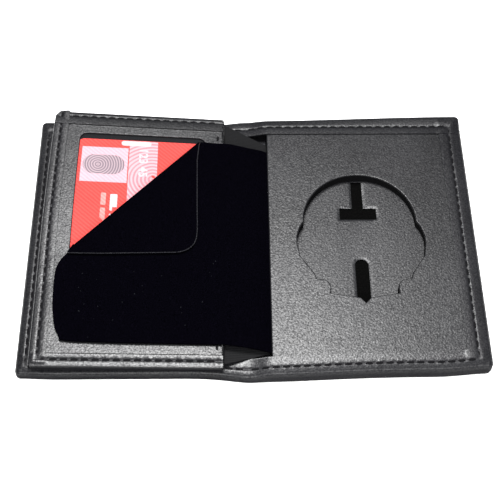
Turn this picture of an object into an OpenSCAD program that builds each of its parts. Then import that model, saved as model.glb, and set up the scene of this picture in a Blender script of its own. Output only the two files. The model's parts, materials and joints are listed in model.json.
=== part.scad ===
// Folding badge and identity card wallet, lying open, with a hinged card wing and a felt divider.
// X runs to the right across both panels, Y away from the front edge, Z up from the underside.

/* [Cover] */
// Width of the open cover, over both panels and the spine
open_w = 172; // [150:1:200]
// Height of the cover, from the front edge to the far edge
open_h = 112; // [100:1:124]
// Width of the spine between its two fold lines
spine_w = 17; // [16.8:0.1:21]
// Distance that the spine's middle lies left of the cover's middle
spine_shift = 2.5; // [0:0.1:3]
// Thickness of the cover's hide
hide_t = 1.2; // [0.9:0.05:1.4]
// Thickness of the stiffening board in each panel
board_t = 0.6; // [0.4:0.05:0.8]
// Thickness of the fabric lining
lining_t = 0.4; // [0.3:0.05:0.5]
// Thickness of the hide where it is pared and turned over as a hem
hem_t = 0.7; // [0.4:0.05:0.9]
// Width of the hem along the outer side edges
hem_side_w = 8.6; // [7:0.1:9.4]
// Width of the hem along the front and far edges
hem_end_w = 7; // [6:0.1:8.4]
// Radius of the cover's outer corners
cover_corner_r = 1.6; // [0.8:0.1:3]
// Distance from the outer edge to the seam
seam_inset = 3.6; // [3:0.1:4.2]
// Drop of the badge panel's hem at the seam, where the edge is pressed together
crimp_drop = 1.8; // [0.8:0.1:2]
// Radius at which the hide turns over the rim of an edge
rim_r = 1.2; // [0.9:0.05:1.5]

/* [Card pockets] */
// Thickness of one pocket sheet
pocket_t = 0.8; // [0.5:0.05:0.9]
// Distance from the spine side of the panel to the first pocket's mouth
pocket_inset = 4; // [2:0.5:8]
// Step from one pocket's mouth to the next
pocket_step = 13; // [8:0.5:16]

/* [Identity wing] */
// Width of the wing from its hinge edge to its outer edge
wing_w = 68.7; // [66:0.1:72]
// Height of the wing
wing_h = 110; // [100:0.5:111]
// Slope of the wing, which stands higher at its outer edge (degrees)
wing_tilt = 2.5; // [1.5:0.1:3.5]
// Clearance between the cover's stitching and the wing at the hinge
wing_gap = 0.35; // [0.3:0.05:0.6]
// Thickness of the wing's back hide
wing_back_t = 0.9; // [0.6:0.05:1]
// Thickness of the wing's board
wing_board_t = 0.5; // [0.3:0.05:0.6]
// Thickness of the wing's face hide
wing_face_t = 0.7; // [0.5:0.05:0.8]
// Thickness of the wing's turned hem
wing_hem_t = 0.6; // [0.4:0.05:0.7]
// Width of the wing's hem along its outer side
wing_hem_side_w = 6.8; // [5.5:0.1:7.1]
// Width of the wing's hem along its far edge
wing_hem_top_w = 6.4; // [5:0.1:7.5]
// Width of the wing's hem along its front edge
wing_hem_bottom_w = 5.2; // [4.8:0.1:5.7]
// Distance from the wing's edges to its seams
wing_seam_inset = 2.7; // [2:0.1:3]
// Drop of the wing's hem at its seams
wing_crimp_drop = 0.8; // [0.4:0.1:1]

/* [Card and window] */
// Width of the card
card_w = 54; // [52:0.1:54.5]
// Height of the card
card_l = 85.6; // [84:0.1:86.5]
// Thickness of the card
card_t = 0.76; // [0.5:0.02:0.84]
// Radius of the card's corners
card_corner_r = 3.18; // [2.5:0.01:4]
// Clearance round the card in its pocket
card_play = 0.12; // [0.1:0.01:0.2]
// Width of the window
window_w = 50.4; // [47:0.1:51]
// Height of the window
window_h = 82.5; // [70:0.5:83]
// Distance from the hinge edge to the window
window_hinge_margin = 7; // [6.4:0.1:7.6]
// Distance from the wing's far edge to the window
window_top_margin = 10; // [9:0.1:11]
// Radius of the window's corners
window_corner_r = 3; // [1:0.1:5]
// Thickness of the clear window film
film_t = 0.25; // [0.15:0.01:0.3]
// Distance that the card's far edge lies below the window's far edge
card_drop = 2; // [1:0.1:2.6]

/* [Felt divider] */
// Thickness of the felt
felt_t = 0.8; // [0.5:0.05:0.9]
// Width of the divider from the page hinge to its free edge
flap_w = 61.1; // [58:0.1:61.4]
// Height of the divider
flap_h = 90.5; // [84:0.5:91]
// Distance from the wing's front edge to the divider's front edge
flap_bottom_margin = 7; // [6.2:0.1:8]
// Length of each leg of the folded corner
fold_leg = 52; // [40:0.5:56]
// Half the slit left along the fold for the felt's bend
fold_relief = 0.4; // [0.3:0.05:0.6]
// Clearance under the divider and under its folded corner
felt_gap = 0.5; // [0.4:0.05:0.55]
// Radius of the divider's outer corners
felt_corner_r = 8; // [4:0.5:10]

/* [Badge panel] */
// Thickness of the layer that leaves room for the badge's clip
clip_room_t = 0.5; // [0.3:0.05:0.6]
// Thickness of the recess floor's hide
floor_t = 0.7; // [0.5:0.05:0.8]
// Thickness of the pad that gives the recess its depth
pad_t = 3.2; // [2.6:0.1:3.3]
// Thickness of the panel's face hide
face_t = 0.8; // [0.6:0.05:0.9]
// Width of the badge recess
recess_w = 49.2; // [44:0.2:52]
// Height of the badge recess
recess_h = 57.6; // [50:0.2:62]
// Place of the recess's middle along the width
recess_x = 41.7; // [40.8:0.1:43]
// Place of the recess's middle along the height
recess_y = -1; // [-4:0.1:3]

/* [Clip slots] */
// Width of the upper slot's stem
stem_w = 5.3; // [4.2:0.1:7]
// Width of the upper slot's cross bar
bar_w = 15.4; // [12:0.1:20]
// Height of the upper slot's cross bar
bar_h = 6.2; // [4.2:0.1:8]
// Width of the lower slot, whose far end is round
tongue_w = 6.2; // [4.4:0.1:8]
// Distance from the recess's middle to the round end of the lower slot
tongue_top = 7.2; // [5:0.1:9]
// Distance from the recess's middle up to the cross bar
bar_rise = 10; // [8:0.1:12]

/* [Stitching] */
// Length of one stitch on the surface
stitch_l = 2.9; // [2:0.1:3.2]
// Distance from one stitch to the next
stitch_pitch = 3.8; // [3.5:0.1:5]
// Width of the thread
thread_w = 0.6; // [0.4:0.05:0.8]
// Height that the thread stands above the hide
thread_t = 0.25; // [0.15:0.01:0.25]

/* [Hidden] */

// Clearance between a layer and the walls of the hem round it
layer_gap = 0.15;
// Clearance between a fold line and the panel parts that stand above it
fold_gap = 0.3;
// Overrun of a cut past the face that it opens
overrun = 1;
// Steps in each rounded corner of an outline
corner_steps = 8;
// Thickness of the pared hide where it turns up round an edge
turn_t = 0.9;
// Flat width of a hem beside its raw edge
hem_lip_w = 0.8;
// Margin of the clip's room round the slots
clip_margin = 3;
// Width that the window film laps under the face hide
film_lap = 1.2;
// Thickness of the ribbed hinge band
band_t = 0.5;
// Clearance at each end of the hinge band and of the felt's root
root_gap = 0.3;
// Drop of the felt's and the band's ends towards the badge panel, at the far and front edges
root_far_drop = 4.5;
root_front_drop = 1.6;
band_far_drop = 9;
band_front_drop = 5;
band_far_margin = 1;
band_front_margin = 1.2;

// Fold lines of the cover
fold_back_x = -spine_shift - spine_w / 2;
fold_front_x = -spine_shift + spine_w / 2;
back_inner_x = fold_back_x - fold_gap;
front_inner_x = fold_front_x + fold_gap;

// Heights in the back panel, from the underside up
back_board_z = hide_t;
back_lining_z = back_board_z + board_t;
pocket_z = back_lining_z + lining_t;
pocket_count = 3;
back_hem_z = pocket_z + pocket_count * pocket_t;
back_top_z = back_hem_z + hem_t;
back_seam_z = back_top_z - pocket_t;

// Heights in the spine
spine_top_z = hide_t + lining_t;

// Heights in the badge panel
front_board_z = hide_t;
clip_room_z = front_board_z + board_t;
floor_z = clip_room_z + clip_room_t;
pad_z = floor_z + floor_t;
face_z = pad_z + pad_t;
front_hem_z = face_z + face_t;
front_top_z = front_hem_z + hem_t;
front_seam_z = front_top_z - crimp_drop;
pad_edge_t = min(pad_t, front_seam_z - hem_t - pad_z);

// Insets of the layers: the low ones reach the turned edge, the high ones stop where the hem slopes down
low_inset = turn_t + layer_gap;
crimp_w = hem_end_w - hem_lip_w;
high_inset = crimp_w + layer_gap;
wing_crimp_w = wing_hem_bottom_w - hem_lip_w;
wing_high_inset = wing_crimp_w + layer_gap;

// Heights in the wing at its hinge edge, before the wing is sloped
wing_z = back_top_z + thread_t + wing_gap;
wing_board_z = wing_z + wing_back_t;
card_room_z = wing_board_z + wing_board_t;
card_room_t = card_t + 2 * card_play;
film_z = card_room_z + card_room_t;
wing_face_z = film_z + film_t;
wing_hem_z = wing_face_z + wing_face_t;
wing_top_z = wing_hem_z + wing_hem_t;
wing_seam_z = wing_top_z - wing_crimp_drop;
wing_edge_z = min(wing_face_z, wing_seam_z - wing_hem_t);
flap_z = wing_hem_z + felt_gap;
folded_z = flap_z + felt_t + fold_gap;

// The hinge line shared by the wing and the felt divider
page_x = back_inner_x;
page_z = flap_z + felt_t / 2;

// Places on the wing
wing_left = page_x - wing_w;
wing_front = -open_h / 2;
wing_far = wing_front + wing_h;
window_right = page_x - window_hinge_margin;
window_left = window_right - window_w;
window_far = wing_far - window_top_margin;
card_right = window_right + (card_w - window_w) * 2 / 3;
card_left = card_right - card_w;
card_far = window_far - card_drop;
card_front = card_far - card_l;

// Places on the felt divider
flap_left = page_x - flap_w;
flap_front = wing_front + flap_bottom_margin;
flap_far = flap_front + flap_h;
fold_right = flap_left + fold_leg;
fold_front = flap_far - fold_leg;

// Shares of the recess's width and height at the points of one half of its outline
dome_r_share = 0.443;
shield_shares = [
    [0.443, 0.121], [0.474, 0.078], [0.498, 0.009], [0.500, -0.052],
    [0.480, -0.148], [0.374, -0.285], [0.362, -0.320], [0.291, -0.332],
    [0.262, -0.360], [0.256, -0.395], [0.262, -0.430], [0.039, -0.462], [0.000, -0.500],
];

// Outline helpers
function unit(v) = v / norm(v);
function arc_point(middle, r, angle) = middle + r * [cos(angle), sin(angle)];
function bearing(v) = atan2(v.y, v.x);
function rounded_corner(p, before, after, r) =
    let (
        u = unit(before - p),
        v = unit(after - p),
        half = acos(u * v) / 2,
        middle = p + unit(u + v) * r / sin(half),
        first = bearing(p + u * r / tan(half) - middle),
        last = bearing(p + v * r / tan(half) - middle),
        sweep = (last - first + 540) % 360 - 180
    )
    [for (i = [0:corner_steps]) arc_point(middle, r, first + sweep * i / corner_steps)];
function rounded(points, radii) =
    let (n = len(points))
    [for (i = [0:n - 1]) each (
        radii[i] == 0
            ? [points[i]]
            : rounded_corner(points[i], points[(i + n - 1) % n], points[(i + 1) % n], radii[i])
    )];
function box_points(x0, y0, x1, y1) = [[x0, y0], [x1, y0], [x1, y1], [x0, y1]];

// A flat layer with its four corner radii, in the order of box_points
module layer(x0, y0, x1, y1, z, t, radii = [0, 0, 0, 0]) {
    translate([0, 0, z]) linear_extrude(t) polygon(rounded(box_points(x0, y0, x1, y1), radii));
}

// Section of a wrapped edge, as distance in from the outer edge and height: up the turned edge, round the
// rim, flat past the seam, up the crimp to the raw edge, and back along the underside
function edge_section(hem_w, slope_w, seam_at, seam_z, top_z, fold_t, foot_z) = [
    [0, foot_z],
    for (i = [0:corner_steps]) arc_point([rim_r, seam_z - rim_r], rim_r, 180 - 90 * i / corner_steps),
    [seam_at + thread_w, seam_z], [slope_w, top_z], [hem_w, top_z],
    [hem_w, top_z - fold_t], [slope_w, top_z - fold_t], [seam_at + thread_w, seam_z - fold_t],
    [turn_t, seam_z - fold_t], [turn_t, foot_z],
];

// A wrapped edge along Y whose outer side faces left, mitred where it meets the edges along X
module side_edge(y0, y1, section, side_w, end_w, mitre_far = true) {
    far_w = mitre_far ? end_w : 0;
    tall = open_h;
    intersection() {
        translate([0, y1, 0]) rotate([90, 0, 0]) linear_extrude(y1 - y0) polygon(section);
        translate([0, 0, -tall / 2]) linear_extrude(tall) polygon([
            [0, y0], [end_w, y0 + end_w], [side_w + overrun, y0 + end_w],
            [side_w + overrun, y1 - far_w], [far_w, y1 - far_w], [0, y1],
        ]);
    }
}

// A wrapped edge along X from the mitred corner at x = 0, whose outer side faces the front
module end_edge(length, section, end_w) {
    tall = open_h;
    intersection() {
        rotate([90, 0, 90]) linear_extrude(length) polygon(section);
        translate([0, 0, -tall / 2]) linear_extrude(tall)
            polygon([[0, 0], [length, 0], [length, end_w + overrun], [end_w + overrun, end_w + overrun]]);
    }
}

// The cover hide of one panel, drawn with its outer side facing left at x = 0: its plate, and the edges
// turned up and over the layers as hems
module wrapped_panel(plate_w, hem_run, seam_z, top_z) {
    foot_z = hide_t / 2;
    side_section = edge_section(hem_side_w, crimp_w, seam_inset, seam_z, top_z, hem_t, foot_z);
    end_section = edge_section(hem_end_w, crimp_w, seam_inset, seam_z, top_z, hem_t, foot_z);
    radii = [cover_corner_r, 0, 0, cover_corner_r];
    intersection() {
        union() {
            layer(0, -open_h / 2, plate_w, open_h / 2, 0, hide_t);
            side_edge(-open_h / 2, open_h / 2, side_section, hem_side_w, hem_end_w);
            for (side = [0, 1]) mirror([0, side, 0]) translate([0, -open_h / 2, 0])
                end_edge(hem_run, end_section, hem_end_w);
        }
        layer(0, -open_h / 2, plate_w, open_h / 2, 0, top_z, radii);
    }
}

// A layer that fills one panel between its inner side and the given inset from its edges
module panel_layer(outer_x, inner_x, z, t, inset = low_inset) {
    away = sign(inner_x - outer_x);
    layer(
        min(outer_x + away * inset, inner_x), -open_h / 2 + inset,
        max(outer_x + away * inset, inner_x), open_h / 2 - inset, z, t
    );
}

// A row of stitches from one point to another, lying on the surface at height z
module stitch_row(start, stop, z) {
    run = norm(stop - start);
    count = floor(run / stitch_pitch);
    slack = (run - (count - 1) * stitch_pitch) / 2;
    translate([start.x, start.y, z]) rotate([0, 0, bearing(stop - start)])
        for (i = [0:count - 1])
            translate([slack + i * stitch_pitch - stitch_l / 2, -thread_w / 2, 0])
                cube([stitch_l, thread_w, thread_t]);
}

// Slopes what is drawn level with the wing's hinge edge
module on_wing() {
    translate([page_x, 0, page_z]) rotate([0, wing_tilt, 0]) translate([-page_x, 0, -page_z]) children();
}

// A strip that runs down from the page hinge to the badge panel's edge
module gutter_strip(start_x, start_z, stop_x, stop_z, start_ys, stop_ys, t) {
    run = norm([stop_x - start_x, stop_z - start_z]);
    translate([start_x, 0, start_z]) rotate([0, atan2(start_z - stop_z, stop_x - start_x), 0])
        linear_extrude(t)
            polygon([[0, start_ys[0]], [run, stop_ys[0]], [run, stop_ys[1]], [0, start_ys[1]]]);
}

// The recess's outline: a round dome over a shield with two notched shoulders
module recess_outline() {
    right_half = [for (s = shield_shares) [s.x * recess_w, s.y * recess_h]];
    left_half = [for (i = [len(right_half) - 2:-1:0]) [-right_half[i].x, right_half[i].y]];
    dome_r = dome_r_share * recess_w;
    translate([recess_x, recess_y]) {
        translate([0, recess_h / 2 - dome_r]) circle(r = dome_r, $fn = 96);
        polygon(concat(right_half, left_half));
    }
}

module clip_slots_outline() {
    bar_front = recess_y + bar_rise;
    tongue_far = recess_y - tongue_top;
    translate([recess_x - stem_w / 2, bar_front]) square([stem_w, recess_h / 2 - bar_rise]);
    translate([recess_x - bar_w / 2, bar_front]) square([bar_w, bar_h]);
    translate([recess_x - tongue_w / 2, recess_y - recess_h / 2])
        square([tongue_w, recess_h / 2 - tongue_top - tongue_w / 2]);
    translate([recess_x, tongue_far - tongue_w / 2]) circle(d = tongue_w, $fn = 48);
}

// Back panel, under the wing
module cover_back_leather() {
    color("#1d1d20") translate([-open_w / 2, 0, 0]) wrapped_panel(
        fold_back_x + open_w / 2, back_inner_x + open_w / 2, back_seam_z, back_top_z
    );
}

module cover_back_board() {
    color("#8a7f70") panel_layer(-open_w / 2, back_inner_x, back_board_z, board_t);
}

module cover_back_lining() {
    color("#26262a") panel_layer(-open_w / 2, back_inner_x, back_lining_z, lining_t);
}

// One pocket sheet; only the top one stops short of the edges, where the hem slopes down
module card_pocket(index) {
    mouth_x = back_inner_x - pocket_inset - index * pocket_step;
    inset = index == pocket_count - 1 ? high_inset : low_inset;
    color("#222226") panel_layer(-open_w / 2, mouth_x, pocket_z + index * pocket_t, pocket_t, inset);
}

module card_pocket_rear() {
    card_pocket(0);
}

module card_pocket_middle() {
    card_pocket(1);
}

module card_pocket_front() {
    card_pocket(2);
}

// The seam round a panel's outer side and both ends
module panel_seam(outer_x, inner_x, z) {
    away = sign(inner_x - outer_x);
    side_x = outer_x + away * seam_inset;
    end_y = open_h / 2 - seam_inset;
    stitch_row([side_x, -end_y + stitch_pitch], [side_x, end_y - stitch_pitch], z);
    for (side = [-1, 1])
        stitch_row([min(side_x, inner_x), side * end_y], [max(side_x, inner_x), side * end_y], z);
}

module back_seam_thread() {
    color("#0c0c0e") panel_seam(-open_w / 2, back_inner_x, back_seam_z);
}

// Spine and the pieces that cross the gutter
module spine_leather() {
    hem_y = open_h / 2 - hem_end_w;
    color("#1d1d20") {
        layer(fold_back_x, -open_h / 2, fold_front_x, open_h / 2, 0, hide_t);
        for (side = [0, 1]) mirror([0, side, 0])
            layer(fold_back_x, hem_y, fold_front_x, open_h / 2, hide_t, lining_t);
    }
}

module spine_lining() {
    hem_y = open_h / 2 - hem_end_w - layer_gap;
    color("#26262a") layer(fold_back_x, -hem_y, fold_front_x, hem_y, hide_t, lining_t);
}

module spine_seam_thread() {
    end_y = open_h / 2 - seam_inset;
    color("#0c0c0e") for (side = [-1, 1])
        stitch_row([fold_back_x, side * end_y], [fold_front_x, side * end_y], spine_top_z);
}

module wing_hinge_band() {
    color("#151518") gutter_strip(
        page_x + root_gap, wing_board_z, fold_front_x, pad_z + pad_t / 2,
        [wing_front + band_front_margin, wing_far - band_far_margin],
        [wing_front + band_front_margin + band_front_drop, wing_far - band_far_margin - band_far_drop],
        band_t
    );
}

module felt_root() {
    color("#0a0a10") gutter_strip(
        page_x + root_gap, flap_z, fold_front_x, face_z - felt_t,
        [flap_front, flap_far],
        [flap_front - root_front_drop, flap_far - root_far_drop],
        felt_t
    );
}

// Badge panel
module cover_front_leather() {
    color("#1d1d20") mirror([1, 0, 0]) translate([-open_w / 2, 0, 0]) wrapped_panel(
        open_w / 2 - fold_front_x, open_w / 2 - front_inner_x, front_seam_z, front_top_z
    );
}

module front_board() {
    color("#8a7f70") panel_layer(open_w / 2, front_inner_x, front_board_z, board_t);
}

module clip_spacer() {
    room_w = bar_w + 2 * clip_margin;
    room_h = recess_h + 2 * clip_margin;
    color("#3a3a3e") difference() {
        panel_layer(open_w / 2, front_inner_x, clip_room_z, clip_room_t);
        layer(
            recess_x - room_w / 2, recess_y - room_h / 2, recess_x + room_w / 2, recess_y + room_h / 2,
            clip_room_z - overrun, clip_room_t + 2 * overrun
        );
    }
}

module recess_floor_leather() {
    color("#3c3c42") difference() {
        panel_layer(open_w / 2, front_inner_x, floor_z, floor_t);
        translate([0, 0, floor_z - overrun]) linear_extrude(floor_t + 2 * overrun) clip_slots_outline();
    }
}

module badge_pad() {
    color("#2b2b2f") difference() {
        union() {
            panel_layer(open_w / 2, front_inner_x, pad_z, pad_t, high_inset);
            panel_layer(open_w / 2, front_inner_x, pad_z, pad_edge_t);
        }
        translate([0, 0, pad_z - overrun]) linear_extrude(pad_t + 2 * overrun) recess_outline();
    }
}

module badge_face_leather() {
    color("#47474d") difference() {
        panel_layer(open_w / 2, front_inner_x, face_z, face_t, high_inset);
        translate([0, 0, face_z - overrun]) linear_extrude(face_t + 2 * overrun) recess_outline();
    }
}

module front_seam_thread() {
    color("#0c0c0e") panel_seam(open_w / 2, front_inner_x, front_seam_z);
}

// Identity wing
module wing_back_leather() {
    foot_z = wing_z + wing_back_t / 2;
    side_section = edge_section(
        wing_hem_side_w, wing_crimp_w, wing_seam_inset, wing_seam_z, wing_top_z, wing_hem_t, foot_z
    );
    end_section = edge_section(
        wing_hem_bottom_w, wing_crimp_w, wing_seam_inset, wing_seam_z, wing_top_z, wing_hem_t, foot_z
    );
    radii = [cover_corner_r, 0, 0, cover_corner_r];
    color("#1d1d20") on_wing() intersection() {
        union() {
            layer(wing_left, wing_front, page_x, wing_far, wing_z, wing_back_t);
            translate([wing_left, 0, 0])
                side_edge(wing_front, wing_far, side_section, wing_hem_side_w, wing_hem_bottom_w, false);
            translate([wing_left, wing_front, 0]) end_edge(wing_w, end_section, wing_hem_bottom_w);
        }
        layer(wing_left, wing_front, page_x, wing_far, wing_z, wing_top_z - wing_z, radii);
    }
}

module wing_board() {
    color("#8a7f70") on_wing() layer(
        wing_left + low_inset, wing_front + low_inset, page_x, wing_far - layer_gap,
        wing_board_z, wing_board_t
    );
}

module wing_window_film() {
    color("#dfe6ea", 0.35) on_wing() layer(
        card_left, window_far - window_h - film_lap, card_right, window_far + film_lap, film_z, film_t
    );
}

// The face hide, pressed down round the card and turned over on itself at the far edge
module wing_face_leather() {
    face_left = wing_left + wing_high_inset;
    face_front = wing_front + wing_high_inset;
    play = card_play + layer_gap;
    color("#242428") on_wing() {
        difference() {
            layer(face_left, face_front, page_x, wing_far, wing_face_z, wing_face_t);
            layer(
                window_left, window_far - window_h, window_right, window_far,
                wing_face_z - overrun, wing_face_t + 2 * overrun,
                [window_corner_r, window_corner_r, window_corner_r, window_corner_r]
            );
        }
        difference() {
            union() {
                layer(face_left, face_front, page_x, wing_far, card_room_z, wing_face_z - card_room_z);
                layer(
                    wing_left + low_inset, wing_front + low_inset, page_x, wing_far,
                    card_room_z, wing_edge_z - card_room_z
                );
            }
            layer(
                card_left - play, card_front - play, card_right + play, wing_far + overrun,
                card_room_z - overrun, wing_face_z - card_room_z + 2 * overrun
            );
        }
        layer(
            wing_left + wing_hem_side_w + layer_gap, wing_far - wing_hem_top_w, page_x, wing_far,
            wing_hem_z, wing_hem_t
        );
    }
}

module wing_seam_thread() {
    side_x = wing_left + wing_seam_inset;
    far_y = wing_far - wing_seam_inset;
    front_y = wing_front + wing_seam_inset;
    hinge_x = page_x - wing_seam_inset;
    color("#0c0c0e") on_wing() {
        stitch_row([side_x, front_y + stitch_pitch], [side_x, wing_far], wing_seam_z);
        stitch_row([wing_left + wing_hem_side_w, far_y], [hinge_x, far_y], wing_top_z);
        stitch_row([side_x, front_y], [hinge_x, front_y], wing_seam_z);
        stitch_row(
            [hinge_x, wing_front + wing_hem_bottom_w], [hinge_x, wing_far - wing_hem_top_w], wing_hem_z
        );
    }
}

module id_card() {
    corner_radii = [card_corner_r, card_corner_r, card_corner_r, card_corner_r];
    color("#e0483e") on_wing() layer(
        card_left, card_front, card_right, card_far, card_room_z + card_play, card_t, corner_radii
    );
}

// Felt divider, with its outer far corner folded over on top
module felt_flap() {
    outline = [
        [page_x, flap_front], [page_x, flap_far],
        [fold_right + 2 * fold_relief, flap_far], [flap_left, fold_front - 2 * fold_relief],
        [flap_left, flap_front],
    ];
    radii = [0, 0, 0, felt_corner_r / 2, felt_corner_r];
    color("#0a0a10") on_wing() translate([0, 0, flap_z]) linear_extrude(felt_t)
        polygon(rounded(outline, radii));
}

module felt_corner() {
    outline = [
        [fold_right, flap_far - 2 * fold_relief], [flap_left + 2 * fold_relief, fold_front],
        [fold_right, fold_front],
    ];
    color("#101018") on_wing() translate([0, 0, folded_z]) linear_extrude(felt_t)
        polygon(rounded(outline, [0, 0, felt_corner_r]));
}

cover_back_leather();
cover_back_board();
cover_back_lining();
card_pocket_rear();
card_pocket_middle();
card_pocket_front();
back_seam_thread();
spine_leather();
spine_lining();
spine_seam_thread();
wing_hinge_band();
felt_root();
cover_front_leather();
front_board();
clip_spacer();
recess_floor_leather();
badge_pad();
badge_face_leather();
front_seam_thread();
wing_back_leather();
wing_board();
wing_window_film();
wing_face_leather();
wing_seam_thread();
id_card();
felt_flap();
felt_corner();
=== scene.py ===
"""A folding badge and identity card wallet, lying open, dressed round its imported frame."""

import json
import logging
import math
import random
from collections.abc import Callable, Sequence
from dataclasses import dataclass, field
from enum import Enum

import bmesh
import bpy
from mathutils import Matrix, Vector, noise


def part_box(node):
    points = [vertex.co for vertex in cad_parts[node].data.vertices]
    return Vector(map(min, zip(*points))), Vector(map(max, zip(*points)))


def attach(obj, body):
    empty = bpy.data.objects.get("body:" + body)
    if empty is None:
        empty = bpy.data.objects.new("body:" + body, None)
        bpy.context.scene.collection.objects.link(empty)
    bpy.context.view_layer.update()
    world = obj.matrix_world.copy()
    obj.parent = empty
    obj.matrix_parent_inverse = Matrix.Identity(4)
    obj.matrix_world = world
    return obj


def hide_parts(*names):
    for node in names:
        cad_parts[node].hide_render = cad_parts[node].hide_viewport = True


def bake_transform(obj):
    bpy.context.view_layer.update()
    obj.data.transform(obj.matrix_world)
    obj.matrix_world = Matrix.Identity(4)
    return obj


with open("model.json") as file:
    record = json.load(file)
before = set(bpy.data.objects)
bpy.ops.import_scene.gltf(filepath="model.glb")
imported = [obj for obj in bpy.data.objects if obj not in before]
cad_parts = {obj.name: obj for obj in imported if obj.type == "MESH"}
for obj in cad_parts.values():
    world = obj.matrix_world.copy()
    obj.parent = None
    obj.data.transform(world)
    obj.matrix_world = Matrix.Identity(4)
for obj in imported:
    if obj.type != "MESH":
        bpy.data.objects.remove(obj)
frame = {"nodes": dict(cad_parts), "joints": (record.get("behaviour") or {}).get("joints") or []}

log = logging.getLogger("wallet")

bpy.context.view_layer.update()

# Lengths below are in millimetres, and a mesh becomes metres when its piece is made
MM = 0.001
# The scale of a wave texture whose crests lie one unit apart
WAVE_SCALE = 0.314
# The mesh layer that says how far a point of a hide lies out of the light, and its share in a seam
SUNK = "sunk"
SEAM_PAINTED_SHADE = 0.45
# The directions across the open wallet and along its spine
ACROSS = Vector((1, 0, 0))
ALONG = Vector((0, 1, 0))

Colour = tuple[float, float, float]


class Body(Enum):
    """The bodies of the frame that pieces ride on."""

    BACK = "back_panel"
    SPINE = "spine"
    BADGE = "badge_panel"
    WING = "id_wing"
    CARD = "id_card"
    FLAP = "felt_flap"
    CORNER = "felt_corner"


class Slot(Enum):
    """The material slots of the record."""

    COVER = "cover_leather"
    FACE = "face_leather"
    LINING_HIDE = "lining_leather"
    BOARD = "board"
    LINING = "lining"
    PAD = "pad"
    BAND = "ribbed_band"
    FELT = "felt"
    THREAD = "thread"
    FILM = "window_film"
    CARD = "card"


class Held(Enum):
    """How a sheet of cloth is held."""

    LAID = "laid"
    FOLDED = "folded"
    STRETCHED = "stretched"


# Small helpers


def smooth(share: float) -> float:
    """A share held between 0 and 1, eased at both ends.

    Args:
        share: where a value lies between its two limits.

    Returns:
        The eased share.
    """
    t = min(1.0, max(0.0, share))
    return t * t * (3 - 2 * t)


def mix(low: float, high: float, share: float) -> float:
    """The value that lies at a share of the way from low to high."""
    return low + (high - low) * share


def box_mm(node: str) -> tuple[Vector, Vector]:
    """A node's lowest and highest corners at rest, in millimetres.

    Args:
        node: the node's name.

    Returns:
        The lowest and the highest corner.
    """
    low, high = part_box(node)
    return low / MM, high / MM


def joint_point(name: str) -> Vector:
    """The place of a joint of the frame, in millimetres.

    Args:
        name: the joint's name.

    Returns:
        A point on the joint's axis.
    """
    joint = next(j for j in frame["joints"] if j["name"] == name)
    return Vector(joint["pos_m"]) / MM


def swell(place: Vector, size: float, amount: float) -> float:
    """A soft unevenness that depends on the place alone.

    Args:
        place: a point, in millimetres.
        size: how far apart its swells lie, in millimetres.
        amount: the most that it adds or takes away.

    Returns:
        The unevenness at that point.
    """
    return amount * noise.noise(place / size)


# Finishes


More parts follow.
